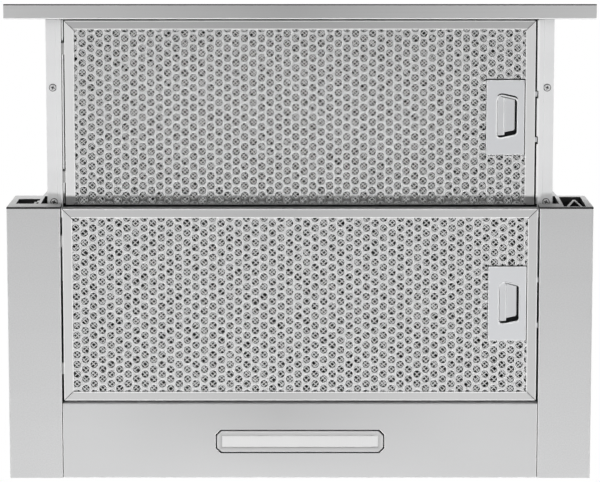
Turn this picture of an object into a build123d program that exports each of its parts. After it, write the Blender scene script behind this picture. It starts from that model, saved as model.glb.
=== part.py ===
from build123d import *
import math
import os

# Slide-out cooker hood that hangs under a wall cabinet, in millimetres.
# z = 0 is the underside of the cabinet, +y points to the wall, -y to the cook.
# The drawer is modelled pulled out, with both grease filters latched.

# Tray under the cabinet
TRAY_W = 599.6
TRAY_D = 280.0
TRAY_H = 68.0
SIDE_W = 54.8  # width of each side box, seen from below
SHEET = 1.0
BEND = 1.6
CABINET_SCREWS = (576.0, 180.0)  # hole spacing of the cabinet screws
CABINET_HOLE_R = 2.75
FRONT = -TRAY_D / 2
BACK = TRAY_D / 2
FLOOR = -TRAY_H
SIDE_X = TRAY_W / 2  # outer face of a side box
INNER_X = SIDE_X - SIDE_W  # inner face of a side box
LIP_TOP = FLOOR + 14.0  # top of the folds round the rear filter

# Moulded end caps in the front of the side boxes
CAP_RAKE = 4.8  # the top of a cap stands this much further forward
CAP_LEAN = 2.2  # the outer edge leans in by this much at the top
CAP_TOP = -0.5
CAP_EDGE = 1.6
CAP_SPIGOT = 18.0
CAP_WALL = 1.8
CAP_NOTCH_X = 266.5  # the rail runs through the notch inside this
CAP_NOTCH_Z = -47.0
LEFT_POCKET = (269.5, 292.0, -47.0, -20.0)  # inner and outer side, z from, z to
RIGHT_POCKET = (270.0, 292.5, -63.0, -8.0)

# Light in the rear panel
PANEL_FRONT = 61.5
PANEL_GAP = 0.6
LIGHT_Y = 101.7
BEZEL = (173.2, 23.4)
BEZEL_CORNER = 5.0
BEZEL_FLANGE = 4.0
BEZEL_FLANGE_T = 1.5
LENS = (160.8, 11.7)
LENS_DEPTH = 0.5  # the lens lies this far behind the bezel's face
LENS_T = 1.5
LIGHT_GAP = 0.5
LED_BOARD = (-78.0, 78.0, LIGHT_Y - 6, LIGHT_Y + 6, FLOOR + 4, FLOOR + 5.6)
LED_SINK = (-75.0, 75.0, LIGHT_Y - 10, LIGHT_Y + 10, FLOOR + 5.6, FLOOR + 9.6)
LED_DRIVER = (118.0, 202.0, LIGHT_Y - 20, LIGHT_Y + 20, FLOOR + SHEET, FLOOR + SHEET + 16)

# Drawer
FASCIA_W = 600.0
FASCIA_BACK = -333.0
FASCIA_DEPTH = 15.4
FASCIA_RAKE = 5.1
FASCIA_TOP = -5.0
FASCIA_TOP_BACK = -337.8
FASCIA_HEM = 8.0
RAIL_END = -62.0
RAIL_OUT = 260.5
RAIL_STEP = 250.0
RAIL_IN = 244.5
RAIL_TOP = -13.0
RAIL_LOW = -39.5
RAIL_LIP = -41.0
RAIL_LIP_TOP = -30.0
RAIL_SCREW_X = 253.6
RAIL_SCREW_R = 3.3
RAIL_SCREW_H = 1.4
RAIL_SCREW_Y = (-262.0, -144.0)

# Guides that carry the drawer inside the side boxes
GUIDE_OUT = 276.0
GUIDE_IN = 264.0
GUIDE_TOP = -10.0
GUIDE_LOW = -46.0
GUIDE_FRONT = -119.0
GUIDE_BACK = 128.0
HANGER_Y = (-60.0, 60.0)
HANGER_W = 36.0
GLIDE_GAP = 0.5
PAD_BACK = -103.0
GLIDE_FRONT = -102.2

# Switch under the deck that the drawer works, as x, y and z from and to
DRAWER_SWITCH = (-210.0, -190.0, 100.0, 112.0, -10.5, -SHEET)
PLUNGER = (-203.0, -197.0, 104.0, 108.0, -11.3, -10.5)

# Grease filters
FILTER_T = 9.0
FILTER_SKIN = 0.8
FLANGE = 9.0
FLANGE_X = 10.0
# Half the width, y from, y to, underside z, rear flange
REAR_FILTER = (243.0, -139.5, 58.9, FLOOR + 1.6, FLANGE)
FRONT_FILTER = (241.4, -330.5, -141.2, -40.0, 4.0)
SHEET_T = 0.6
HOLE_PITCH = 10.1
HOLE_D = 7.7
HOLE_GROUP = 4  # one opening here stands for this many holes each way
MESH_T = 0.8
MESH_GRID = (6, 4)
MESH_PITCH = (78.0, 44.0)
MESH_STRAND = 8.0
TAB_Y = 66.0
TAB = (12.0, 2.0)  # length, thickness
TAB_END = 247.0
TAB_Z = 2.6  # above the filter's underside
TAB_SLOT = 3.8
MITRE_W = 0.5
MITRE_T = 0.4

# Latches in the filters
# Their x is measured from the filter's right edge
LATCH_X = (-50.2, -10.4)
LATCH_PROUD = 1.0
LATCH_GAP = 0.3
LATCH_W = 77.0
REAR_LATCH_Y = -42.2
FRONT_LATCH_Y = -231.5
LATCH_PLATE_T = 1.6
POCKET_X = (-48.6, -11.4)
POCKET_W = 56.0
POCKET_H = 8.0
POCKET_WALL = 1.2
GRIP_X = (-38.6, -18.7)  # finger opening
GRIP_FRONT = (-22.8, -18.2)  # its front end at the left and right sides
GRIP_REAR = (21.4, 17.2)
GRIP_R = 3.0
SLIDER_X = (-41.9, -20.7)
SLIDER_W = 52.0
SLIDER_Z = (5.0, 6.8)
SLIDER_NOTCH = (14.5, 21.0)  # gap in the slider under the finger opening's rear end
GRIP_BAR_X = (-37.9, -31.2)
GRIP_BAR_Y = (-20.0, 18.5)
GRIP_BAR_LOW = 1.8
BOLT_Y = 23.5
BOLT_W = 5.0
BOLT_GAP = 0.4
BOLT_ROOM = 0.6
KEEPER_H = 5.0

# Box above the tray
BOX_X = 276.0
BOX_FRONT = -139.0
BOX_BACK = 116.0
BOX_H = 112.0

# Blower
FAN_X = -158.0
FAN_Y = -12.0
INLET_R = 58.0
VOLUTE_R = 78.0
VOLUTE_STEP = 10.0
TONGUE_ANGLE = 55.0
BLOWER_WALL = 2.0
BLOWER_H = 78.0
OUTLET_X = 62.0
OUTLET_FRONT = -18.0
TONGUE_Y = 60.0
FAN_R = 66.0
FAN_Z = (12.0, 68.0)
FAN_PLATE = 2.0
FAN_RING = 14.0
BLADES = 24
BLADE = (12.0, 1.4)
BLADE_ANGLE = 28.0
HUB_R = 10.0
HUB_H = 14.0
HUB_OPENING_R = 14.0
SHAFT_R = 4.0
SHAFT_GAP = 0.06
SHAFT_COVER = 3.0
MOTOR_PLATE_R = 62.0
MOTOR_R = 42.0
MOTOR_Z = (80.0, 108.0)

# Duct collar and its damper
COLLAR_Y = 44.0
COLLAR_R = 60.0
COLLAR_T = 2.0
COLLAR_H = 52.0
COLLAR_FLANGE_R = 70.0
COLLAR_STOP_R = 54.0  # the box's round opening, whose rim stops the flaps
PIN_R = 1.5
PIN_SEAT = 5.0
PIN_SEAT_W = 6.0
PIN_Z = BOX_H + 4.4
KNUCKLE = 6.4
KNUCKLE_X = (6.0, 44.0)
FLAP_R = 57.0
FLAP_SIDES = 32
FLAP_GAP = 0.6
FLAP_T = 1.2
FLAP_LOW = BOX_H + 0.4

# Push buttons in the right of the drawer's front
BUTTON_X = (188.0, 204.0, 220.0, 236.0)
BUTTON = (11.0, 8.0)
BUTTON_Z = -24.0
BUTTON_PROUD = 2.0
BUTTON_GAP = 0.4
BUTTON_CAP = 8.0
STEM = 4.0
SWITCH_BLOCK = (180.0, 243.0, -332.0, -312.0, -29.5, -14.4)  # x, y and z from and to

# Supply, with the boxes as x, y and z from and to
CASE_CHAMFER = 3.0
CAPACITOR = (115.0, 145.0, -38.0, 20.0, 0.0, 22.0)
TERMINAL_BOX = (170.0, 250.0, 36.0, 106.0, 0.0, 34.0)
TERMINAL_WALL = 2.0
TERMINAL_COVER = (169.0, 251.0, 35.0, 107.0, 34.0, 36.0)
WIRE_INLET = 10.0
GLAND_X = 215.0
GLAND_Y = 80.0
GLAND_R = 9.0
GLAND_BORE_R = 4.5
GLAND_H = 10.0
GLAND_SHANK = 8.0


def across(y):
    """Plane at y for sections drawn in x and z. Extruding goes to the front."""
    return Plane.XZ.offset(-y)


def along(x):
    """Plane at x for sections drawn in y and z. Extruding goes to the right."""
    return Plane.YZ.offset(x)


def folded(points, bend=BEND):
    """Section of a sheet folded along a line. The metal lies on the line's left."""
    with BuildSketch() as section:
        with BuildLine():
            if bend:
                FilletPolyline(*points, radius=bend)
            else:
                Polyline(*points)
            offset(amount=SHEET, side=Side.LEFT)
        make_face()
    return section.sketch


def block(x0, x1, y0, y1, z0, z1, mode=Mode.ADD):
    """Box between two corners, added to the part in hand."""
    with Locations(((x0 + x1) / 2, (y0 + y1) / 2, (z0 + z1) / 2)):
        Box(x1 - x0, y1 - y0, z1 - z0, mode=mode)


def tab_slots(x, filter_size):
    """Slots at the left for a filter's two tabs."""
    _, y0, y1, z0, _ = filter_size
    for side in (-1, 1):
        with Locations((-x, (y0 + y1) / 2 + side * TAB_Y, z0 + TAB_Z)):
            Box(4 * SHEET, TAB[0] + 4, TAB_SLOT, mode=Mode.SUBTRACT)


def keeper_slots(x, latch_y, filter_size):
    """Slots at the right for a filter's two bolts."""
    for side in (-1, 1):
        with Locations((x, latch_y + side * BOLT_Y, filter_size[3] + sum(SLIDER_Z) / 2)):
            Box(4 * SHEET, BOLT_W + 3, KEEPER_H, mode=Mode.SUBTRACT)


def mirrored(piece):
    """The same piece for the right-hand side."""
    with BuildPart() as twin:
        mirror(piece.part, about=Plane.YZ)
    return twin


# Side boxes: one folded sheet each, with a closed back
CASE_SECTION = [
    (-SIDE_X + 7, -SHEET),
    (-SIDE_X, -SHEET),
    (-SIDE_X, FLOOR),
    (-INNER_X, FLOOR),
    (-INNER_X, LIP_TOP),
]
with BuildPart() as case_blank:
    with BuildSketch(across(BACK)):
        add(folded(CASE_SECTION))
    extrude(amount=BACK - FRONT)
    block(-SIDE_X, -INNER_X, BACK - SHEET, BACK, FLOOR + BEND, -SHEET)

# The left box takes the rear filter's two tabs, the right one its two bolts
with BuildPart() as left_side_case:
    add(case_blank.part)
    tab_slots(INNER_X, REAR_FILTER)

with BuildPart() as right_side_case:
    mirror(case_blank.part, about=Plane.YZ)
    keeper_slots(INNER_X, REAR_LATCH_Y, REAR_FILTER)

# Rear panel with the light's cut-out, folded up into the back wall
PANEL_SECTION = [
    (PANEL_FRONT, LIP_TOP),
    (PANEL_FRONT, FLOOR),
    (BACK, FLOOR),
    (BACK, -SHEET),
    (BACK - 12, -SHEET),
]
panel_x = INNER_X - PANEL_GAP
with BuildPart() as rear_panel:
    with BuildSketch(along(-panel_x)):
        add(folded(PANEL_SECTION))
    extrude(amount=2 * panel_x)
    with BuildSketch(Plane.XY.offset(FLOOR)) as cut_out:
        with Locations((0, LIGHT_Y)):
            Rectangle(BEZEL[0] + 2 * LIGHT_GAP, BEZEL[1] + 2 * LIGHT_GAP)
        chamfer(cut_out.vertices(), BEZEL_CORNER)
    extrude(amount=SHEET, mode=Mode.SUBTRACT)

# Deck that closes the tray, with a folded front lip and the blower's air opening
DECK_SECTION = [(BACK, 0), (FRONT, 0), (FRONT, -9)]
with BuildPart() as deck_plate:
    with BuildSketch(along(-SIDE_X)):
        add(folded(DECK_SECTION, 0))
    extrude(amount=TRAY_W)
    for side in (-1, 1):
        with Locations((side * (SIDE_X + INNER_X - 2) / 2, FRONT, -SHEET - 5)):
            Box(SIDE_W + 3, 8, 10, mode=Mode.SUBTRACT)
    with GridLocations(*CABINET_SCREWS, 2, 2):
        Hole(CABINET_HOLE_R)
    with Locations((FAN_X, FAN_Y)):
        Hole(INLET_R + 4)

# Crossbar over the front edge of the rear filter, closing the gap below the drawer
with BuildPart() as front_crossbar:
    with BuildSketch(along(-INNER_X)):
        add(folded([(-130, LIP_TOP - 2), (-138.5, LIP_TOP - 2), (-138.5, CAP_NOTCH_Z + 4)], 0))
    extrude(amount=2 * INNER_X)



def end_cap(pocket):
    """Left end cap: a raked face, a hollow spigot behind it, a pocket and a notch for the rail."""
    spigot_x = (-SIDE_X + 1.5, -CAP_NOTCH_X - 1)
    spigot_z = (FLOOR + 1.5, -3)
    with BuildPart() as cap:
        with BuildSketch(along(-SIDE_X)):
            Polygon(
                (FRONT, FLOOR),
                (FRONT, CAP_TOP),
                (FRONT - CAP_EDGE - CAP_RAKE, CAP_TOP),
                (FRONT - CAP_EDGE, FLOOR),
                align=None,
            )
        extrude(amount=SIDE_W)
        block(*spigot_x, FRONT, FRONT + CAP_SPIGOT, *spigot_z)
        block(
            spigot_x[0] + CAP_WALL, spigot_x[1] - CAP_WALL, FRONT, FRONT + CAP_SPIGOT,
            spigot_z[0] + CAP_WALL, spigot_z[1] - CAP_WALL, mode=Mode.SUBTRACT,
        )
        block(-pocket[1], -pocket[0], FRONT - 10, FRONT, *pocket[2:], mode=Mode.SUBTRACT)
        block(-CAP_NOTCH_X, -INNER_X, FRONT - 10, FRONT + 1, CAP_NOTCH_Z, 0, mode=Mode.SUBTRACT)
        with BuildSketch(across(FRONT)):
            Polygon(
                (-SIDE_X, FLOOR), (-SIDE_X + CAP_LEAN, CAP_TOP), (-SIDE_X, CAP_TOP), align=None
            )
        extrude(amount=12, mode=Mode.SUBTRACT)
    return cap


left_end_cap = end_cap(LEFT_POCKET)
right_end_cap = mirrored(end_cap(RIGHT_POCKET))

# Drawer guides: a channel hung from the deck on two welded hangers
GUIDE_SECTION = [
    (-GUIDE_IN, GUIDE_TOP),
    (-GUIDE_OUT, GUIDE_TOP),
    (-GUIDE_OUT, GUIDE_LOW),
    (-GUIDE_IN, GUIDE_LOW),
]
with BuildPart() as left_guide_channel:
    with BuildSketch(across(GUIDE_BACK)):
        add(folded(GUIDE_SECTION, 0))
    extrude(amount=GUIDE_BACK - GUIDE_FRONT)
    for y in HANGER_Y:
        half = HANGER_W / 2
        block(-GUIDE_OUT - SHEET, -GUIDE_OUT, y - half, y + half, -34, -SHEET)
        block(-GUIDE_OUT - 8, -GUIDE_OUT, y - half, y + half, -2 * SHEET, -SHEET)
right_guide_channel = mirrored(left_guide_channel)

# Fixed glide pads at the front of the guides; the drawer's glides stop against them
with BuildPart() as glide_pads:
    for side in (-1, 1):
        ends = sorted((side * (GUIDE_OUT - SHEET), side * (RAIL_OUT - 2.5)))
        block(*ends, GUIDE_FRONT + 1, PAD_BACK, GUIDE_LOW + SHEET, RAIL_LOW - 0.4)

# Light: bezel flush in the panel, lens, board and driver
with BuildPart() as led_bezel:
    with BuildSketch(Plane.XY.offset(FLOOR)) as face_plate:
        with Locations((0, LIGHT_Y)):
            Rectangle(*BEZEL)
        chamfer(face_plate.vertices(), BEZEL_CORNER)
        with Locations((0, LIGHT_Y)):
            Rectangle(*LENS, mode=Mode.SUBTRACT)
    extrude(amount=SHEET)
    with BuildSketch(Plane.XY.offset(FLOOR + SHEET)):
        with Locations((0, LIGHT_Y)):
            Rectangle(BEZEL[0] + 2 * BEZEL_FLANGE, BEZEL[1] + 2 * BEZEL_FLANGE)
            Rectangle(*LENS, mode=Mode.SUBTRACT)
    extrude(amount=BEZEL_FLANGE_T)

with BuildPart() as led_lens:
    lens_top = FLOOR + SHEET + BEZEL_FLANGE_T
    with Locations((0, LIGHT_Y, lens_top)):
        Box(*LENS, lens_top - FLOOR - LENS_DEPTH, align=(Align.CENTER, Align.CENTER, Align.MAX))
        Box(LENS[0] + 5, LENS[1] + 5, LENS_T, align=(Align.CENTER, Align.CENTER, Align.MIN))

with BuildPart() as led_board:
    block(*LED_BOARD)
    block(*LED_SINK)

with BuildPart() as led_driver:
    block(*LED_DRIVER)
    chamfer(led_driver.edges().filter_by(Axis.Z), CASE_CHAMFER)

# Switch worked by the drawer's top as it goes home
with BuildPart() as drawer_switch:
    block(*DRAWER_SWITCH)
    block(*PLUNGER)

# Box above the tray, open below
with BuildPart() as motor_box:
    block(-BOX_X, BOX_X, BOX_FRONT, BOX_BACK, 0, BOX_H)
    offset(amount=-SHEET, openings=motor_box.faces().sort_by(Axis.Z)[0])
    with Locations((0, COLLAR_Y, BOX_H)):
        Hole(COLLAR_STOP_R, depth=4)
    with Locations((GLAND_X, GLAND_Y, BOX_H)):
        Hole(GLAND_R - 2, depth=4)


def volute_outline():
    """Plan of the blower: quarter arcs that grow round the fan, then the outlet chamber."""
    step = VOLUTE_STEP
    centres = [(0, 0), (-step, 0), (-step, step), (0, step)]
    tongue = math.radians(TONGUE_ANGLE)
    back = FAN_Y + step + VOLUTE_R + 3 * step
    with BuildSketch() as plan:
        with BuildLine():
            for turn, (cx, cy) in enumerate(centres):
                start = TONGUE_ANGLE if turn == 0 else 90 - 90 * turn
                sweep = -TONGUE_ANGLE if turn == 0 else -90
                CenterArc((FAN_X + cx, FAN_Y + cy), VOLUTE_R + turn * step, start, sweep)
            Polyline(
                (FAN_X, back),
                (OUTLET_X, back),
                (OUTLET_X, OUTLET_FRONT),
                (-OUTLET_X, OUTLET_FRONT),
                (-OUTLET_X, TONGUE_Y),
                (FAN_X + VOLUTE_R * math.cos(tongue), FAN_Y + VOLUTE_R * math.sin(tongue)),
            )
        make_face()
    return plan.sketch


VOLUTE = volute_outline()
OUTLET_BACK = FAN_Y + VOLUTE_R + 4 * VOLUTE_STEP

# Blower: a base with the inlet, and the scroll with its outlet chamber
with BuildPart() as blower_base:
    with BuildSketch(Plane.XY):
        add(VOLUTE)
    extrude(amount=BLOWER_WALL)
    with Locations((FAN_X, FAN_Y)):
        Hole(INLET_R)

with BuildPart() as blower_scroll:
    with BuildSketch(Plane.XY.offset(BLOWER_WALL)):
        add(VOLUTE)
    extrude(amount=BLOWER_H - BLOWER_WALL)
    block(-OUTLET_X, OUTLET_X, OUTLET_FRONT, OUTLET_BACK, BLOWER_WALL, BOX_H - SHEET)
    with BuildSketch(Plane.XY.offset(BLOWER_WALL)):
        add(VOLUTE)
        offset(amount=-BLOWER_WALL, mode=Mode.REPLACE)
    extrude(amount=BLOWER_H - 2 * BLOWER_WALL, mode=Mode.SUBTRACT)
    block(
        -OUTLET_X + BLOWER_WALL,
        OUTLET_X - BLOWER_WALL,
        OUTLET_FRONT + BLOWER_WALL,
        OUTLET_BACK - BLOWER_WALL,
        BLOWER_WALL,
        BOX_H - SHEET - BLOWER_WALL,
        mode=Mode.SUBTRACT,
    )
    with Locations((0, COLLAR_Y, BOX_H)):
        Box(2 * COLLAR_STOP_R, 2 * COLLAR_STOP_R, 4 * BLOWER_WALL, mode=Mode.SUBTRACT)
    with BuildSketch(Plane.XY.offset(BLOWER_H)):
        with Locations((FAN_X, FAN_Y)):
            RegularPolygon(HUB_OPENING_R, 6)
    extrude(amount=-2 * BLOWER_WALL, mode=Mode.SUBTRACT)

# Impeller: a plate with the hub above, a ring round the inlet below, blades between them
with BuildPart() as impeller_plate:
    with BuildSketch(Plane.XY.offset(FAN_Z[1] - FAN_PLATE)):
        with Locations((FAN_X, FAN_Y)):
            RegularPolygon(FAN_R, BLADES)
    extrude(amount=FAN_PLATE)
    with BuildSketch(Plane.XY.offset(FAN_Z[1] - HUB_H)):
        with Locations((FAN_X, FAN_Y)):
            RegularPolygon(HUB_R, 8)
    extrude(amount=HUB_H - FAN_PLATE)
    with Locations((FAN_X, FAN_Y, FAN_Z[1])):
        Hole(SHAFT_R)

with BuildPart() as impeller_ring:
    with BuildSketch(Plane.XY.offset(FAN_Z[0])):
        with Locations((FAN_X, FAN_Y)):
            RegularPolygon(FAN_R, BLADES)
            RegularPolygon(FAN_R - FAN_RING, BLADES, mode=Mode.SUBTRACT)
    extrude(amount=FAN_PLATE)

with BuildPart() as impeller_blades:
    with BuildSketch(Plane.XY.offset(FAN_Z[0] + FAN_PLATE)):
        with Locations((FAN_X, FAN_Y)):
            with PolarLocations(FAN_R - FAN_RING / 2, BLADES):
                Rectangle(*BLADE, rotation=BLADE_ANGLE)
    extrude(amount=FAN_Z[1] - FAN_Z[0] - 2 * FAN_PLATE)

with BuildPart() as motor_shaft:
    shaft_low = FAN_Z[1] - HUB_H
    shaft_high = MOTOR_Z[1] - SHAFT_COVER - 1
    with Locations((FAN_X, FAN_Y, (shaft_low + shaft_high) / 2)):
        Cylinder(SHAFT_R, shaft_high - shaft_low)

with BuildPart() as motor_plate:
    with BuildSketch(Plane.XY.offset(BLOWER_H)):
        with Locations((FAN_X, FAN_Y)):
            RegularPolygon(MOTOR_PLATE_R, 3)
            RegularPolygon(HUB_OPENING_R, 6, mode=Mode.SUBTRACT)
    extrude(amount=MOTOR_Z[0] - BLOWER_H)

with BuildPart() as motor:
    with BuildSketch(Plane.XY.offset(MOTOR_Z[0])):
        with Locations((FAN_X, FAN_Y)):
            RegularPolygon(MOTOR_R, 16)
    extrude(amount=MOTOR_Z[1] - MOTOR_Z[0], taper=4)
    with Locations((FAN_X, FAN_Y, MOTOR_Z[0])):
        Cylinder(
            SHAFT_R + SHAFT_GAP, 2 * (MOTOR_Z[1] - MOTOR_Z[0] - SHAFT_COVER), mode=Mode.SUBTRACT
        )

with BuildPart() as capacitor:
    block(*CAPACITOR)
    chamfer(capacitor.edges().filter_by(Axis.Y), CASE_CHAMFER)

with BuildPart() as terminal_box:
    block(*TERMINAL_BOX)
    offset(amount=-TERMINAL_WALL, openings=terminal_box.faces().sort_by(Axis.Z)[-1])
    with Locations((GLAND_X, TERMINAL_BOX[3], 2 * WIRE_INLET)):
        Box(WIRE_INLET, WIRE_INLET, WIRE_INLET, mode=Mode.SUBTRACT)

with BuildPart() as terminal_cover:
    block(*TERMINAL_COVER)
    chamfer(terminal_cover.edges().filter_by(Axis.Z), CASE_CHAMFER)

with BuildPart() as cable_gland:
    with BuildSketch(Plane.XY.offset(BOX_H)):
        with Locations((GLAND_X, GLAND_Y)):
            RegularPolygon(GLAND_R, 6, major_radius=False)
    extrude(amount=GLAND_H)
    with BuildSketch(Plane.XY.offset(BOX_H)):
        with Locations((GLAND_X, GLAND_Y)):
            RegularPolygon(GLAND_R - 3, 8)
    extrude(amount=-GLAND_SHANK)
    with Locations((GLAND_X, GLAND_Y, BOX_H)):
        Cylinder(GLAND_BORE_R, 4 * GLAND_H, mode=Mode.SUBTRACT)

# Collar for the duct, with two seats inside for the damper's pin
with BuildPart() as duct_collar:
    with BuildSketch(Plane.XY.offset(BOX_H)):
        with Locations((0, COLLAR_Y)):
            Circle(COLLAR_FLANGE_R)
            Circle(COLLAR_R - COLLAR_T, mode=Mode.SUBTRACT)
    extrude(amount=COLLAR_T)
    with BuildSketch(Plane.XY.offset(BOX_H)):
        with Locations((0, COLLAR_Y)):
            Circle(COLLAR_R)
            Circle(COLLAR_R - COLLAR_T, mode=Mode.SUBTRACT)
    extrude(amount=COLLAR_H)
    for side in (-1, 1):
        ends = sorted((side * (COLLAR_R - COLLAR_T - PIN_SEAT), side * (COLLAR_R - COLLAR_T / 2)))
        half = PIN_SEAT_W / 2
        block(*ends, COLLAR_Y - half, COLLAR_Y + half, BOX_H, PIN_Z - PIN_R)

with BuildPart() as damper_pin:
    pin_x = COLLAR_R - COLLAR_T - 0.2
    with BuildSketch(along(-pin_x)):
        with Locations((COLLAR_Y, PIN_Z)):
            Circle(PIN_R)
    extrude(amount=2 * pin_x)


def damper_flap(side):
    """Half-round flap with one knuckle on the pin; side is -1 at the front, 1 at the rear."""
    knuckle = sorted((side * KNUCKLE_X[0], side * KNUCKLE_X[1]))
    other = sorted((side * (2 - KNUCKLE_X[0]), -side * (KNUCKLE_X[1] + 2)))
    edge = COLLAR_Y + side * FLAP_GAP
    with BuildPart() as flap:
        with BuildSketch(Plane.XY.offset(FLAP_LOW)):
            with Locations((0, COLLAR_Y)):
                RegularPolygon(FLAP_R, FLAP_SIDES)
            with Locations((0, edge - side * FLAP_R)):
                Rectangle(2 * FLAP_R, 2 * FLAP_R, mode=Mode.SUBTRACT)
            with Locations((sum(other) / 2, COLLAR_Y)):
                Rectangle(other[1] - other[0], 2 * KNUCKLE, mode=Mode.SUBTRACT)
            for seat in (-1, 1):
                with Locations((seat * FLAP_R, COLLAR_Y)):
                    Rectangle(2 * PIN_SEAT + 3, 1.5 * PIN_SEAT_W, mode=Mode.SUBTRACT)
        extrude(amount=FLAP_T)
        with BuildSketch(along(knuckle[0])):
            with Locations((COLLAR_Y, PIN_Z)):
                Rectangle(KNUCKLE, KNUCKLE)
        extrude(amount=knuckle[1] - knuckle[0])
        with BuildSketch(along(knuckle[0] - 2)):
            with Locations((COLLAR_Y, PIN_Z)):
                Circle(PIN_R + SHAFT_GAP)
        extrude(amount=knuckle[1] - knuckle[0] + 4, mode=Mode.SUBTRACT)
    return flap


front_damper_flap = damper_flap(-1)
rear_damper_flap = damper_flap(1)

# Drawer rails: folded sheet, with slots for the front filter's tabs and bolts
RAIL_SECTION = [
    (-RAIL_IN - 3, RAIL_TOP),
    (-RAIL_OUT, RAIL_TOP),
    (-RAIL_OUT, RAIL_LOW),
    (-RAIL_STEP, RAIL_LOW),
    (-RAIL_STEP, RAIL_LIP),
    (-RAIL_IN, RAIL_LIP),
    (-RAIL_IN, RAIL_LIP_TOP),
]
with BuildPart() as rail_blank:
    with BuildSketch(across(RAIL_END)):
        add(folded(RAIL_SECTION, 0))
    extrude(amount=RAIL_END - FASCIA_BACK - SHEET)

with BuildPart() as left_rail:
    add(rail_blank.part)
    tab_slots(RAIL_IN, FRONT_FILTER)

with BuildPart() as right_rail:
    mirror(rail_blank.part, about=Plane.YZ)
    keeper_slots(RAIL_IN, FRONT_LATCH_Y, FRONT_FILTER)

with BuildPart() as rail_glides:
    for side in (-1, 1):
        ends = sorted((side * (GUIDE_OUT - SHEET - GLIDE_GAP), side * RAIL_OUT))
        block(
            *ends, GLIDE_FRONT, RAIL_END,
            GUIDE_LOW + SHEET + GLIDE_GAP, GUIDE_TOP - SHEET - GLIDE_GAP,
        )

with BuildPart() as rail_screws:
    for side in (-1, 1):
        for y in RAIL_SCREW_Y:
            with BuildSketch(Plane.XY.offset(RAIL_LOW)):
                with Locations((side * RAIL_SCREW_X, y)):
                    RegularPolygon(RAIL_SCREW_R, 12)
            extrude(amount=-RAIL_SCREW_H, taper=20)

with BuildPart() as drawer_top:
    block(-RAIL_OUT, RAIL_OUT, FASCIA_BACK, RAIL_END, RAIL_TOP, RAIL_TOP + SHEET)

CROSSMEMBER_SECTION = [
    (FASCIA_BACK + 14, RAIL_TOP),
    (FASCIA_BACK, RAIL_TOP),
    (FASCIA_BACK, RAIL_LIP),
]
with BuildPart() as drawer_crossmember:
    with BuildSketch(along(-RAIL_OUT)):
        add(folded(CROSSMEMBER_SECTION, 0))
    extrude(amount=2 * RAIL_OUT)
    for side in (-1, 1):
        ends = sorted((side * (RAIL_IN - SHEET), side * (RAIL_OUT + 1)))
        block(*ends, FASCIA_BACK + SHEET, 0, RAIL_LIP - 1, RAIL_TOP + 1, mode=Mode.SUBTRACT)
    for x in BUTTON_X:
        with Locations((x, FASCIA_BACK, BUTTON_Z)):
            Box(STEM + 1, 4, STEM + 1, mode=Mode.SUBTRACT)

# Drawer front: a folded bar with a raked face, closed ends and holes for the buttons
FASCIA_FRONT = FASCIA_BACK - FASCIA_DEPTH
FASCIA_SECTION = [
    (FASCIA_TOP_BACK, FASCIA_TOP),
    (FASCIA_FRONT + FASCIA_RAKE, FASCIA_TOP),
    (FASCIA_FRONT, FLOOR),
    (FASCIA_BACK, FLOOR),
    (FASCIA_BACK, FLOOR + FASCIA_HEM),
]
with BuildPart() as fascia:
    with BuildSketch(along(-FASCIA_W / 2)):
        add(folded(FASCIA_SECTION))
    extrude(amount=FASCIA_W)
    for x in (-FASCIA_W / 2, FASCIA_W / 2 - SHEET):
        with BuildSketch(along(x)):
            Polygon(
                (FASCIA_TOP_BACK, FASCIA_TOP - BEND),
                (FASCIA_FRONT + FASCIA_RAKE + BEND, FASCIA_TOP - BEND / 2),
                (FASCIA_FRONT + BEND, FLOOR + BEND / 2),
                (FASCIA_BACK - BEND, FLOOR + BEND / 2),
                (FASCIA_BACK - SHEET / 2, FLOOR + FASCIA_HEM),
                align=None,
            )
        extrude(amount=SHEET)
    for x in BUTTON_X:
        with Locations((x, FASCIA_FRONT, BUTTON_Z)):
            Box(BUTTON[0] + 2 * BUTTON_GAP, 14, BUTTON[1] + 2 * BUTTON_GAP, mode=Mode.SUBTRACT)

with BuildPart() as switch_block:
    block(*SWITCH_BLOCK)
    for x in BUTTON_X:
        with Locations((x, SWITCH_BLOCK[2], BUTTON_Z)):
            Box(STEM + 1, 12, STEM + 1, mode=Mode.SUBTRACT)


def push_button(x):
    """Rectangular button cap with a stem into the switch block."""
    face = FASCIA_FRONT + FASCIA_RAKE * (BUTTON_Z - FLOOR) / (FASCIA_TOP - FLOOR)
    with BuildPart() as button:
        with BuildSketch(across(face - BUTTON_PROUD + BUTTON_CAP)):
            with Locations((x, BUTTON_Z)):
                Rectangle(*BUTTON)
        extrude(amount=BUTTON_CAP)
        chamfer(button.faces().sort_by(Axis.Y)[0].edges(), 0.6)
        with BuildSketch(across(SWITCH_BLOCK[2] + 1.5)):
            with Locations((x, BUTTON_Z)):
                Rectangle(STEM, STEM)
        extrude(amount=SWITCH_BLOCK[2] + 1.5 - (face - BUTTON_PROUD + BUTTON_CAP))
    return button


buttons = [push_button(x) for x in BUTTON_X]


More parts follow.
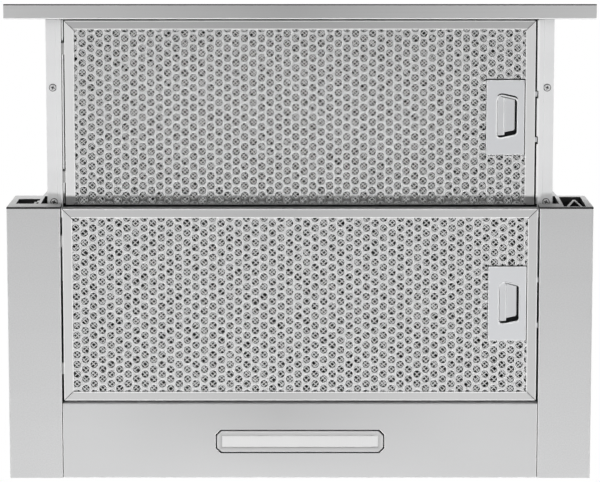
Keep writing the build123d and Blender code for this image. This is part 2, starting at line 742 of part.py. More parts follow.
def filter_frame(half, y0, y1, z0, rear_flange, latch_y):
    """Channel frame with mitred corners; tabs on its left, slots for the bolts on its right."""
    mid = (y0 + y1) / 2
    inner_x = half - FLANGE_X
    with BuildPart() as frame:
        block(-half, half, y0, y1, z0, z0 + FILTER_T)
        block(
            -half + FILTER_SKIN, half - FILTER_SKIN, y0 + FILTER_SKIN, y1 - FILTER_SKIN,
            z0 + FILTER_SKIN, z0 + FILTER_T - FILTER_SKIN, mode=Mode.SUBTRACT,
        )
        block(
            -inner_x, inner_x, y0 + FLANGE, y1 - rear_flange, z0 - 1, z0 + FILTER_T + 1,
            mode=Mode.SUBTRACT,
        )
        for side in (-1, 1):
            for y, reach in ((y0, FLANGE), (y1, -rear_flange)):
                length = math.hypot(FLANGE_X, reach) + 2 * MITRE_W
                angle = math.degrees(math.atan2(reach, -side * FLANGE_X))
                with BuildSketch(Plane.XY.offset(z0)):
                    with Locations((side * (half - FLANGE_X / 2), y + reach / 2)):
                        Rectangle(length, MITRE_W, rotation=angle)
                extrude(amount=MITRE_T, mode=Mode.SUBTRACT)
            block(
                -TAB_END, -half, mid + side * TAB_Y - TAB[0] / 2, mid + side * TAB_Y + TAB[0] / 2,
                z0 + TAB_Z - TAB[1] / 2, z0 + TAB_Z + TAB[1] / 2,
            )
            with Locations((half, latch_y + side * BOLT_Y, z0 + sum(SLIDER_Z) / 2)):
                Box(4, BOLT_W + 1, SLIDER_Z[1] - SLIDER_Z[0] + 0.8, mode=Mode.SUBTRACT)
    return frame


def latch_cutout(half, latch_y, z0):
    """Opening in a filter's sheet or mesh for the latch housing."""
    half_w = LATCH_W / 2 + LATCH_GAP
    block(
        half + LATCH_X[0] - LATCH_GAP, half, latch_y - half_w, latch_y + half_w,
        z0 - 1, z0 + FILTER_T, mode=Mode.SUBTRACT,
    )


def perforated_sheet(half, y0, y1, z0, rear_flange, latch_y):
    """Staggered openings in the filter's underside, each standing for a group of holes."""
    pitch = HOLE_PITCH * HOLE_GROUP
    radius = HOLE_D * HOLE_GROUP / 2
    half_x = half - FLANGE_X - radius
    columns = int(half_x // (pitch * math.sqrt(3) / 2))
    mid = (y0 + FLANGE + y1 - rear_flange) / 2
    half_y = (y1 - rear_flange - y0 - FLANGE) / 2 - radius
    spots = []
    for column in range(-columns, columns + 1):
        x = column * pitch * math.sqrt(3) / 2
        shift = pitch / 2 if column % 2 else 0
        rows = range(-9, 10)
        spots += [(x, mid + shift + row * pitch) for row in rows if abs(shift + row * pitch) < half_y]
    near_latch = half + LATCH_X[0] - radius - 1
    far_latch = LATCH_W / 2 + radius + 1
    spots = [s for s in spots if s[0] < near_latch or abs(s[1] - latch_y) > far_latch]
    with BuildPart() as sheet:
        with BuildSketch(Plane.XY.offset(z0 + FILTER_SKIN)):
            with Locations((0, (y0 + y1) / 2)):
                Rectangle(2 * (half - 1), y1 - y0 - 2)
            with Locations(*spots):
                RegularPolygon(radius, 6, mode=Mode.SUBTRACT)
        extrude(amount=SHEET_T)
        latch_cutout(half, latch_y, z0)
    return sheet


def filter_mesh(half, y0, y1, z0, latch_y):
    """Expanded metal above the perforated sheet: strands round rows of diamonds."""
    with BuildPart() as mesh:
        with BuildSketch(Plane.XY.offset(z0 + FILTER_SKIN + SHEET_T)):
            with Locations((0, (y0 + y1) / 2)):
                Rectangle(2 * (half - 1), y1 - y0 - 2)
                with GridLocations(*MESH_PITCH, *MESH_GRID):
                    Polygon(
                        (-MESH_PITCH[0] / 2 + MESH_STRAND, 0),
                        (0, -MESH_PITCH[1] / 2 + MESH_STRAND),
                        (MESH_PITCH[0] / 2 - MESH_STRAND, 0),
                        (0, MESH_PITCH[1] / 2 - MESH_STRAND),
                        mode=Mode.SUBTRACT,
                    )
        extrude(amount=MESH_T)
        latch_cutout(half, latch_y, z0)
    return mesh


def latch_housing(half, latch_y, z0):
    """Plate with a tapered finger opening, and the pocket behind it that guides the slider."""
    low = z0 - LATCH_PROUD
    plate, pocket, opening = ([half + x for x in pair] for pair in (LATCH_X, POCKET_X, GRIP_X))
    with BuildPart() as housing:
        block(*plate, latch_y - LATCH_W / 2, latch_y + LATCH_W / 2, low, z0 + LATCH_PLATE_T)
        block(*pocket, latch_y - POCKET_W / 2, latch_y + POCKET_W / 2, z0, z0 + POCKET_H)
        block(
            pocket[0] + POCKET_WALL, pocket[1] - POCKET_WALL,
            latch_y - POCKET_W / 2 + POCKET_WALL, latch_y + POCKET_W / 2 - POCKET_WALL,
            z0 + LATCH_PLATE_T, z0 + POCKET_H - POCKET_WALL + 0.4, mode=Mode.SUBTRACT,
        )
        with BuildSketch(Plane.XY.offset(low)) as grip:
            Polygon(
                (opening[0], latch_y + GRIP_FRONT[0]),
                (opening[1], latch_y + GRIP_FRONT[1]),
                (opening[1], latch_y + GRIP_REAR[1]),
                (opening[0], latch_y + GRIP_REAR[0]),
                align=None,
            )
            fillet(grip.vertices(), GRIP_R)
        extrude(amount=LATCH_PROUD + LATCH_PLATE_T, mode=Mode.SUBTRACT)
        for side in (-1, 1):
            with Locations((pocket[1], latch_y + side * BOLT_Y, z0 + sum(SLIDER_Z) / 2)):
                Box(
                    6, BOLT_W + BOLT_ROOM, SLIDER_Z[1] - SLIDER_Z[0] + BOLT_ROOM,
                    mode=Mode.SUBTRACT,
                )
    return housing


def latch_slider(half, latch_y, z0, keeper_x):
    """Finger slide with a bar to pull on and the two bolts that hold the filter up."""
    low, high = z0 + SLIDER_Z[0], z0 + SLIDER_Z[1]
    body, bar = ([half + x for x in pair] for pair in (SLIDER_X, GRIP_BAR_X))
    with BuildPart() as slider:
        block(*body, latch_y - SLIDER_W / 2, latch_y + SLIDER_W / 2, low, high)
        block(
            bar[1], body[1], latch_y + SLIDER_NOTCH[0], latch_y + SLIDER_NOTCH[1], low, high,
            mode=Mode.SUBTRACT,
        )
        block(
            *bar, latch_y + GRIP_BAR_Y[1], latch_y + SLIDER_NOTCH[1], low, high,
            mode=Mode.SUBTRACT,
        )
        block(*bar, latch_y + GRIP_BAR_Y[0], latch_y + GRIP_BAR_Y[1], z0 + GRIP_BAR_LOW, low)
        for side in (-1, 1):
            bolt_y = latch_y + side * BOLT_Y
            block(
                body[1], keeper_x - BOLT_GAP, bolt_y - BOLT_W / 2, bolt_y + BOLT_W / 2, low, high
            )
    return slider


rear_filter_frame = filter_frame(*REAR_FILTER, REAR_LATCH_Y)
rear_filter_sheet = perforated_sheet(*REAR_FILTER, REAR_LATCH_Y)
rear_filter_mesh = filter_mesh(*REAR_FILTER[:4], REAR_LATCH_Y)
rear_latch_housing = latch_housing(REAR_FILTER[0], REAR_LATCH_Y, REAR_FILTER[3])
rear_latch_slider = latch_slider(REAR_FILTER[0], REAR_LATCH_Y, REAR_FILTER[3], INNER_X)
front_filter_frame = filter_frame(*FRONT_FILTER, FRONT_LATCH_Y)
front_filter_sheet = perforated_sheet(*FRONT_FILTER, FRONT_LATCH_Y)
front_filter_mesh = filter_mesh(*FRONT_FILTER[:4], FRONT_LATCH_Y)
front_latch_housing = latch_housing(FRONT_FILTER[0], FRONT_LATCH_Y, FRONT_FILTER[3])
front_latch_slider = latch_slider(FRONT_FILTER[0], FRONT_LATCH_Y, FRONT_FILTER[3], RAIL_IN)

PIECES = {
    "left_side_case": left_side_case,
    "right_side_case": right_side_case,
    "rear_panel": rear_panel,
    "deck_plate": deck_plate,
    "front_crossbar": front_crossbar,
    "left_end_cap": left_end_cap,
    "right_end_cap": right_end_cap,
    "left_guide_channel": left_guide_channel,
    "right_guide_channel": right_guide_channel,
    "glide_pads": glide_pads,
    "led_bezel": led_bezel,
    "led_lens": led_lens,
    "led_board": led_board,
    "led_driver": led_driver,
    "drawer_switch": drawer_switch,
    "motor_box": motor_box,
    "blower_base": blower_base,
    "blower_scroll": blower_scroll,
    "impeller_plate": impeller_plate,
    "impeller_ring": impeller_ring,
    "impeller_blades": impeller_blades,
    "motor_shaft": motor_shaft,
    "motor_plate": motor_plate,
    "motor": motor,
    "capacitor": capacitor,
    "terminal_box": terminal_box,
    "terminal_cover": terminal_cover,
    "cable_gland": cable_gland,
    "duct_collar": duct_collar,
    "damper_pin": damper_pin,
    "front_damper_flap": front_damper_flap,
    "rear_damper_flap": rear_damper_flap,
    "left_rail": left_rail,
    "right_rail": right_rail,
    "rail_glides": rail_glides,
    "rail_screws": rail_screws,
    "drawer_top": drawer_top,
    "drawer_crossmember": drawer_crossmember,
    "fascia": fascia,
    "switch_block": switch_block,
    "rear_filter_frame": rear_filter_frame,
    "rear_filter_sheet": rear_filter_sheet,
    "rear_filter_mesh": rear_filter_mesh,
    "rear_latch_housing": rear_latch_housing,
    "rear_latch_slider": rear_latch_slider,
    "front_filter_frame": front_filter_frame,
    "front_filter_sheet": front_filter_sheet,
    "front_filter_mesh": front_filter_mesh,
    "front_latch_housing": front_latch_housing,
    "front_latch_slider": front_latch_slider,
}
for number, button in enumerate(buttons, 1):
    PIECES[f"push_button_{number}"] = button

os.makedirs("parts", exist_ok=True)
for name, piece in PIECES.items():
    piece.part.label = name
    export_step(piece.part, f"parts/{name}.step")
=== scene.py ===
import bmesh
import bpy
import math
import random
from mathutils import Matrix, Vector
from types import SimpleNamespace


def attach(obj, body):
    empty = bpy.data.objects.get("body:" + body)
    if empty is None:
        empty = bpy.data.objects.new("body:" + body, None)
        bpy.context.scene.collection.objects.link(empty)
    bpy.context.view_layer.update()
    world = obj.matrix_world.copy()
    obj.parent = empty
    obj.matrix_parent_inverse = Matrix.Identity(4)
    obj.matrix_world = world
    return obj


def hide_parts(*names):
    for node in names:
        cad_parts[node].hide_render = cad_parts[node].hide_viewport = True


# Looks of a slide-out cooker hood, seen from below with its drawer pulled out.
# Places are in millimetres, as the hood is built: z = 0 is the underside of the cabinet, +y the wall.
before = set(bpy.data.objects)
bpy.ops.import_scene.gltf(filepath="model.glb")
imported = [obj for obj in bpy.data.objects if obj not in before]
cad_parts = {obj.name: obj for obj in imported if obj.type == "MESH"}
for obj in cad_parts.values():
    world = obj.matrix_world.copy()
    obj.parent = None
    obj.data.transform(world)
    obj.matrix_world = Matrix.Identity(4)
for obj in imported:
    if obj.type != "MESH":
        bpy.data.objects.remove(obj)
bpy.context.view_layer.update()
MM = 0.001

FLOOR = -68.0  # underside of the tray
FRONT = -140.0  # front of the tray's side boxes
INNER_X = 245.0  # inner walls of the side boxes
CAP_FRONT, CAP_RAKE, CAP_HEIGHT = FRONT - 1.6, 4.8, 67.5  # face of the end caps, raked over their height
RAIL_IN = 244.5  # inner faces of the drawer's rails
RAIL_FRONT, RAIL_REAR = -331.0, -142.0  # the rails beside the drawer's filter
BOX_TOP, BOX_SIDE, BOX_FRONT, BOX_REAR = 112.0, 276.0, -139.0, 116.0  # blower box above the tray
FOOT_TOP = 1.2  # folded foot of the box on the deck
COLLAR = (0.0, 44.0, BOX_TOP)
GLAND = (215.0, 80.0, BOX_TOP)
LIGHT_Y = 101.7
LENS_HALF = (80.4, 5.85)
HOLE_PITCH = 10.1
HOLE_COLUMN = HOLE_PITCH * math.sqrt(3) / 2
HOLE_R = 3.85
SHEET_FACE, SHEET_BACK = 0.8, 1.4  # above the filter's underside
FLANGE_X, FLANGE_Y = 10.0, 9.0
LATCH_X = (-50.2, -10.9)  # from the filter's right edge
LATCH_HALF = 38.5
GRIP = ((-38.6, -23.0), (-18.7, -18.2), (-18.7, 17.2), (-38.6, 21.4))  # finger opening, from edge and middle

# half is half the width, front and rear are the ends of the opening, hole_x (in columns) and hole_y the phase
# of the holes, strand_pitch and strand_half the mesh next to the sheet, the rest the latch
FILTERS = {
    "rear": SimpleNamespace(
        body="rear_filter", half=243.0, front=-130.5, rear=49.9, under=-66.4,
        hole_x=-0.225, hole_y=-120.1, strand_pitch=3.2, strand_half=0.58,
        latch_y=-42.2, bolt_end=244.6, grip_gap=1.0, grip_corners=(7.5, 3.0, 3.4, 4.4), shadow_reach=0.6,
    ),
    "front": SimpleNamespace(
        body="front_filter", half=241.4, front=-321.5, rear=-142.0, under=-40.0,
        hole_x=0.494, hole_y=-317.5, strand_pitch=2.75, strand_half=0.5,
        latch_y=-231.5, bolt_end=244.1, grip_gap=3.2, grip_corners=(5.5, 4.0, 4.0, 3.4), shadow_reach=1.0,
    ),
}
SHADE_BLACK = (0.008, 0.008, 0.009)  # painted shade: black put on inner walls, in gaps, in hole throats and along the fascia's front edge


class Shade:
    """A shader socket that can be used in sums; each sum adds its Math node."""

    def __init__(self, nodes, socket):
        self.nodes, self.socket = nodes, socket

    def maths(self, operation, *values, clamp=False):
        settings = {"operation": operation, "use_clamp": clamp}
        return self.nodes.node("ShaderNodeMath", settings, dict(enumerate(values)))

    def __add__(self, other):
        return self.maths("ADD", self, other)

    def __sub__(self, other):
        return self.maths("SUBTRACT", self, other)

    def __rsub__(self, other):
        return self.maths("SUBTRACT", other, self)

    def __mul__(self, other):
        return self.maths("MULTIPLY", self, other)

    def __truediv__(self, other):
        return self.maths("DIVIDE", self, other)

    def __rtruediv__(self, other):
        return self.maths("DIVIDE", other, self)

    def __gt__(self, other):
        return self.maths("GREATER_THAN", self, other)

    def __lt__(self, other):
        return self.maths("LESS_THAN", self, other)

    def __abs__(self):
        return self.maths("ABSOLUTE", self)

    def either(self, other):
        return self.maths("MAXIMUM", self, other)

    def least(self, other):
        return self.maths("MINIMUM", self, other)

    def ramp(self, low, high):
        """0 below low and 1 above high, straight between them."""
        return self.maths("MULTIPLY", self - low, 1 / (high - low), clamp=True)

    __radd__, __rmul__ = __add__, __mul__


class Nodes:
    """A node tree that is written as a list of nodes and sums."""

    def __init__(self, tree):
        self.tree = tree
        tree.nodes.clear()

    def node(self, kind, settings=None, sockets=None, out=0):
        made = self.tree.nodes.new(kind)
        for key, value in (settings or {}).items():
            setattr(made, key, value)
        for key, value in (sockets or {}).items():
            self.feed(made.inputs[key], value)
        return Shade(self, made.outputs[out]) if made.outputs else None

    def feed(self, socket, value):
        if isinstance(value, Shade):
            self.tree.links.new(value.socket, socket)
        elif socket.type == "RGBA":
            socket.default_value = (*value[:3], 1)
        else:
            socket.default_value = value


class Finish(Nodes):
    """One finish of the hood: a Principled shader with what varies over the surface fed to it."""

    def __init__(self, name, **fixed):
        self.name = name
        self.material = bpy.data.materials.new(name)
        self.material.use_nodes = True
        super().__init__(self.material.node_tree)
        self.shader = self.node("ShaderNodeBsdfPrincipled", {}, self.sockets(fixed))
        self.node("ShaderNodeOutputMaterial", {}, {"Surface": self.shader})
        self.place = self.node("ShaderNodeTexCoord", out="Object")
        parts = self.node("ShaderNodeSeparateXYZ", {}, {0: self.place})
        self.x, self.y, self.z = (Shade(self, parts.socket.node.outputs[i]) for i in range(3))

    def sockets(self, values):
        return {key.replace("_", " ").title().replace("Ior", "IOR"): v for key, v in values.items()}

    def set(self, **values):
        for key, value in self.sockets(values).items():
            self.feed(self.shader.socket.node.inputs[key], value)
        return self

    def stretched(self, scale):
        """Places scaled by axis, in patterns per millimetre."""
        factor = tuple(s / MM for s in scale)
        return self.node("ShaderNodeVectorMath", {"operation": "MULTIPLY"}, {0: self.place, 1: factor})

    def noise(self, scale, detail, rough=0.5):
        """Noise about 0.5; scale is one number or one for each axis, per millimetre."""
        scale = scale if isinstance(scale, tuple) else (scale,) * 3
        sockets = {"Vector": self.stretched(scale), "Scale": 1.0, "Detail": detail, "Roughness": rough}
        return self.node("ShaderNodeTexNoise", {}, sockets)

    def cells(self, scale, out, feature="F1"):
        sockets = {"Vector": self.stretched((scale,) * 3), "Scale": 1.0}
        return self.node("ShaderNodeTexVoronoi", {"feature": feature}, sockets, out)

    def blend(self, low, high, share):
        """Colour that goes from low to high as share goes from 0 to 1."""
        settings = {"data_type": "RGBA", "clamp_factor": True}
        return self.node("ShaderNodeMix", settings, {0: share, 6: low, 7: high}, out=2)

    def tinted(self, colour, factor):
        """Colour made darker or paler by a factor that varies over the surface."""
        return self.node("ShaderNodeVectorMath", {"operation": "SCALE"}, {0: colour, "Scale": factor})

    def bump(self, height, distance, strength):
        """Relief: distance is in millimetres."""
        sockets = {"Height": height, "Distance": distance * MM, "Strength": strength}
        return self.node("ShaderNodeBump", {}, sockets)


def grey(tone, cool=0.0):
    """Linear colour of a photographed grey level from 0 to 255, with a touch of blue if cool."""
    share = tone / 255
    linear = share / 12.92 if share < 0.04045 else ((share + 0.055) / 1.055) ** 2.4
    return (linear * (1 - cool), linear * (1 - cool / 3), linear * (1 + cool))


def shaded(colour, factor):
    return tuple(min(1.0, c * factor) for c in colour)


def silver_paint(name, tone, rough, metal):
    """Satin paint with fine metal flake, faint orange peel and a few wiped smears."""
    finish = Finish(name, metallic=metal, coat_weight=0.12, coat_roughness=0.3)
    flake = finish.noise(1.9, 1.0)
    cloud = finish.noise(0.012, 3.0)
    smear = finish.noise((0.004, 0.05, 0.02), 3.0).ramp(0.42, 0.7)
    peel = finish.noise(0.55, 2.0)
    finish.colour = finish.blend(shaded(tone, 0.93), shaded(tone, 1.07), flake * 0.7 + cloud * 0.3)
    return finish.set(
        base_color=finish.colour,
        roughness=rough + smear * 0.07 + flake * 0.05,
        normal=finish.bump(peel + flake * 0.35, 0.05, 0.5),
    )


def brushed(name, tone, line, rough, metal=1.0, contrast=0.05, shine=0.5):
    """Sheet with fine lines; line is the scale of the grain, by axis smallest along the brushing."""
    finish = Finish(name, metallic=metal, specular_ior_level=shine)
    lines = finish.noise(line, 3.0, 0.65)
    cloud = finish.noise(0.01, 2.0)
    scuff = finish.noise((0.03, 0.06, 0.03), 4.0, 0.7).ramp(0.58, 0.75)
    dark, pale = shaded(tone, 1 - 2 * contrast), shaded(tone, 1 + 2 * contrast)
    finish.colour = finish.blend(dark, pale, lines * 0.75 + cloud * 0.25)
    return finish.set(
        base_color=finish.colour,
        roughness=rough + lines * 0.12 + scuff * 0.08,
        normal=finish.bump(lines, 0.03, 0.35),
    )


def moulded(name, tone, rough=0.5, texture=1.4, cloudy=0.05):
    """Moulded plastic with a fine eroded texture, faint flow clouds and rubbed patches."""
    finish = Finish(name, ior=1.5)
    pits = finish.noise(texture, 2.0, 0.6)
    flow = finish.noise(0.03, 3.0)
    rubbed = finish.noise(0.05, 2.0).ramp(0.55, 0.75)
    dark, pale = shaded(tone, 1 - cloudy), shaded(tone, 1 + cloudy)
    return finish.set(
        base_color=finish.blend(dark, pale, flow * 0.5 + pits * 0.5),
        roughness=rough + pits * 0.08 - rubbed * 0.08,
        normal=finish.bump(pits, 0.06, 0.45),
    )


def galvanised(name, tone, under=None):
    """Zinc-coated sheet: spangle of crystals and dull streaks; faces that point down may take a darker
    colour, a painted shade.
    """
    metal, spangle = 0.6, 0.075
    finish = Finish(name, metallic=metal)
    shade = finish.node("ShaderNodeSeparateColor", {}, {0: finish.cells(spangle, "Color")})
    edge = finish.cells(spangle, "Distance", "DISTANCE_TO_EDGE").ramp(0.0, 0.06)
    streak = finish.noise((0.05, 0.008, 0.05), 4.0).ramp(0.45, 0.75)
    frost = finish.noise(1.2, 2.0)
    colour = finish.blend(shaded(tone, 0.86), shaded(tone, 1.1), shade * 0.7 + edge * 0.3)
    # painted shade: faces pointing down take the dark under colour and lose their metal
    if under:
        normal = finish.node("ShaderNodeNewGeometry", out="Normal")
        down = finish.node("ShaderNodeSeparateXYZ", {}, {0: normal}, 2) < -0.7
        colour = finish.blend(colour, under, down)
        finish.set(metallic=metal - down * metal)
    return finish.set(
        base_color=colour,
        roughness=0.36 + shade * 0.14 + streak * 0.1,
        normal=finish.bump(frost + edge * 0.3, 0.04, 0.35),
    )


def tray_paint(name, front, rear, middle):
    """Silver paint, paler towards the wall as painted light, darker in the middle of the light panel, with a
    painted highlight along the boxes' inner edges and painted shade, black, on their inner walls.
    """
    finish = silver_paint(name, rear, rough=0.5, metal=0.2)
    across = abs(finish.x)
    on_box = across > (INNER_X - 0.1) * MM
    grain = (finish.noise(0.75, 2.0) - 0.5) * on_box * 0.22
    flake = finish.noise(1.9, 1.0) * 0.7 + finish.noise(0.012, 3.0) * 0.3
    # painted light: paler towards the wall
    wide = finish.blend(front, rear, finish.y.ramp(-0.14, 0.14))
    sweep = (1 - abs(finish.x + 0.02).ramp(0.0, 0.2)) * (1 - finish.y.ramp(0.07, 0.135))
    colour = finish.tinted(finish.blend(wide, middle, sweep), flake * 0.14 + grain + 0.93)
    # painted highlight along the boxes' inner edges
    highlight_band = on_box * (across < (INNER_X + 0.9) * MM)
    # painted shade: the inner walls of the boxes are black
    inside = on_box * (across < (INNER_X + 0.3) * MM) * (finish.z > (FLOOR + 1) * MM)
    colour = finish.blend(colour, grey(240), highlight_band)
    return finish.set(base_color=finish.blend(colour, SHADE_BLACK, inside))


def rail_paint(name, tone):
    """Pale paint, with a painted highlight along the rail's inner edge and painted shade, black, on the face
    beside the filter.
    """
    finish = silver_paint(name, tone, rough=0.42, metal=0.7)
    across = abs(finish.x)
    # painted highlight along the inner edge; painted shade on the face beside the filter
    highlight_band = across < (RAIL_IN + 1) * MM
    above_fold = finish.z > -40.4 * MM
    beside = (across < (RAIL_IN + 0.3) * MM) * above_fold
    colour = finish.blend(finish.colour, grey(246), highlight_band)
    return finish.set(base_color=finish.blend(colour, SHADE_BLACK, beside))


def strand_aluminium(name, tone, under, dull):
    """Bright strands behind the sheet; painted shade darkens the layers further in."""
    finish = brushed(name, tone, 0.5, rough=0.26, metal=0.95, contrast=0.06)
    # painted shade on the deeper layers
    deep = finish.z.ramp((under + 3) * MM, (under + 4) * MM)
    return finish.set(base_color=finish.blend(finish.colour, shaded(tone, dull), deep))


def punched_aluminium(name, tone):
    """Sheet of the filters, with painted shade, black, in the drawn throat of each hole."""
    finish = brushed(name, tone, (0.02, 0.7, 0.7), rough=0.5, metal=0.0, contrast=0.03, shine=0.1)
    colour = finish.colour
    # painted shade: black in each hole's throat
    for throat_filter in FILTERS.values():
        throat = (throat_filter.under + SHEET_BACK - 0.15) * MM
        colour = finish.blend(colour, SHADE_BLACK, abs(finish.z - throat) < 0.2 * MM)
    return finish.set(base_color=colour)


def frame_aluminium(name, side, front, rear, left, right):
    """Filter frame brushed along each flange, each flange at its own lit tone (painted light), with a painted
    highlight on its folded edges, dark in the mitres and painted shade on the hinge tabs.
    """
    this = FILTERS[side]
    mid, reach = (this.front + this.rear) / 2 * MM, ((this.rear - this.front) / 2 + FLANGE_Y) * MM
    finish = brushed(name, left, (0.01, 0.9, 0.9), rough=0.42, metal=0.2, contrast=0.03)
    from_side = this.half * MM - abs(finish.x)
    from_end = reach - abs(finish.y - mid)
    upright = from_side < from_end
    lines = finish.noise((0.01, 1.1, 1.1), 3.0, 0.65) * (1 - upright)
    lines = lines + finish.noise((1.1, 0.01, 1.1), 3.0, 0.65) * upright
    sweep = (1 - abs(finish.x + 0.02).ramp(0.0, 0.17)) * 0.13
    level_tone = finish.tinted(finish.blend(front, rear, finish.y > mid), 1 - sweep)
    upright_tone = finish.blend(left, right, finish.x > 0.0)
    colour = finish.tinted(finish.blend(level_tone, upright_tone, upright), lines * 0.12 + 0.94)
    # painted highlight along the outer and inner edges of the flanges
    highlight_band = from_side.least(from_end) < 0.8 * MM
    highlight_band = highlight_band.either(upright * (from_side > (FLANGE_X - 0.9) * MM))
    highlight_band = highlight_band.either((1 - upright) * (from_end > (FLANGE_Y - 0.9) * MM))
    mitre = abs(from_side - from_end) < 0.45 * MM
    # painted shade on the hinge tabs
    tab_shade = from_side < -0.3 * MM
    colour = finish.blend(finish.blend(colour, grey(244), highlight_band), shaded(left, 0.2), mitre)
    return finish.set(base_color=finish.blend(colour, shaded(left, 0.5), tab_shade))


def end_cap_plastic(name, tone):
    """Satin grey face; painted shade, black, in the pocket behind the raked face and along the bottom edge.
    """
    finish = moulded(name, tone, 0.48)
    behind = finish.y - CAP_FRONT * MM + CAP_RAKE * MM * (finish.z - FLOOR * MM) / (CAP_HEIGHT * MM)
    # painted shade: black behind the raked face and along the bottom edge
    inside = (behind > 0.4 * MM).either(finish.z < (FLOOR + 3) * MM)
    mottle = finish.noise(0.06, 3.0)
    colour = finish.blend(shaded(tone, 0.95), shaded(tone, 1.05), mottle)
    return finish.set(base_color=finish.blend(colour, (0.004, 0.004, 0.005), inside))


def bezel_plastic(name, outer, inner):
    """Moulded frame of the light, darker where it dips to the diffuser, a painted shade."""
    finish = moulded(name, outer, 0.42)
    beside = abs(finish.x) - LENS_HALF[0] * MM
    above = abs(finish.y - LIGHT_Y * MM) - LENS_HALF[1] * MM
    # painted shade: darker towards the diffuser
    away = beside.either(above).ramp(0.0, 4.5 * MM)
    flow = finish.noise(0.03, 3.0) * 0.08 + 0.96
    return finish.set(base_color=finish.tinted(finish.blend(inner, outer, away), flow))


def frosted_lens(name, tone):
    """Milky diffuser with fine ribs across its length."""
    rib = 0.9 * MM
    finish = Finish(name, ior=1.46, coat_weight=0.2, coat_roughness=0.15)
    ribs = abs(finish.node("ShaderNodeMath", {"operation": "PINGPONG"}, {0: finish.x, 1: rib}))
    milk = finish.noise(0.02, 2.0)
    return finish.set(
        base_color=finish.blend(shaded(tone, 0.97), shaded(tone, 1.02), milk),
        roughness=0.32 + milk * 0.1,
        normal=finish.bump(ribs / rib, 0.08, 0.25),
    )


def front_bar_steel(name, middle, ends):
    """Steel brushed along the bar, paler to its ends, with a painted highlight on its rear folded edge and
    painted shade on its front one.
    """
    along = (0.004, 1.6, 1.6)
    finish = brushed(name, middle, along, rough=0.4, metal=0.3)
    lines = finish.noise(along, 3.0, 0.65)
    rear_edge, front_edge = -334.1 * MM, -347.1 * MM
    # painted highlight on the rear folded edge, painted shade on the front one
    rear_highlight = (finish.y > rear_edge) * (finish.z < (FLOOR + 0.8) * MM)
    front_shade = (finish.y < front_edge) * (finish.z < (FLOOR + 1.8) * MM)
    colour = finish.blend(middle, ends, abs(finish.x + 0.01).ramp(0.01, 0.3))
    colour = finish.blend(finish.blend(colour, grey(250), rear_highlight), SHADE_BLACK, front_shade)
    return finish.set(base_color=finish.tinted(colour, lines * 0.2 + 0.9))


FINISHES = {
    finish.name: finish
    for finish in (
        tray_paint("tray_paint", grey(196, 0.004), grey(209, 0.004), grey(189, 0.004)),
        front_bar_steel("front_steel", grey(172, 0.002), grey(198, 0.002)),
        galvanised("zinc_sheet", grey(188, 0.01), (0.02, 0.02, 0.021)),
        rail_paint("rail_paint", grey(236, 0.004)),
        end_cap_plastic("cap_plastic", grey(196)),
        punched_aluminium("sheet_aluminium", grey(205)),
        brushed("mesh_aluminium", grey(232), 0.5, rough=0.4, metal=0.25, contrast=0.06),
        moulded("latch_plastic", grey(210, 0.018), 0.46),
        moulded("slider_plastic", grey(201, 0.014), 0.44),
        bezel_plastic("bezel_plastic", grey(202), grey(172)),
        frosted_lens("lens_plastic", grey(219)),
        brushed("board_metal", grey(225), (0.5, 0.02, 0.5), rough=0.4, metal=0.6),
        moulded("black_plastic", (0.035, 0.035, 0.038), 0.46, texture=1.1, cloudy=0.15),
        moulded("grey_plastic", (0.30, 0.305, 0.31)),
        moulded("flap_plastic", (0.15, 0.155, 0.16)),
        moulded("glide_plastic", (0.05, 0.05, 0.055), 0.4),
        brushed("shaft_steel", grey(205), (0.8, 0.8, 0.05), rough=0.24),
        silver_paint("motor_metal", grey(150), rough=0.5, metal=0.6),
        moulded("button_plastic", grey(186), 0.4),
    )
}
# painted light: each flange's tone holds how the light falls on it
FLANGE_LIT_TONES = {"rear": (194, 203, 210, 200), "front": (179, 181, 224, 215)}  # front, rear, left, right flange
frame_finishes = {
    side: frame_aluminium(f"{side}_frame_aluminium", side, *map(grey, tones))
    for side, tones in FLANGE_LIT_TONES.items()
}
# painted shade: share of the strand tone left on the layers further in
mesh_finishes = {
    side: strand_aluminium(f"{side}_strand_aluminium", grey(250), FILTERS[side].under, dull)
    for side, dull in (("rear", 0.12), ("front", 0.35))
}
# painted shade: near-black plastic for the latch wells, the strips under the latch plates and the bridges in
# the cap notches
shade_black_plastic = moulded("shade_black_plastic", (0.006, 0.006, 0.007), 0.6)
# painted highlight: pale finish on bright rounded edges and on the rail lips
edge_highlight = brushed("painted_highlight_edge", grey(244), 0.3, rough=0.35, metal=0.2, contrast=0.02)
# painted highlight: the drawn hole rims are paler than the sheet they belong to
hole_rim_highlight = brushed("hole_rim_highlight", grey(250), 0.3, rough=0.26, metal=0.95, contrast=0.02)
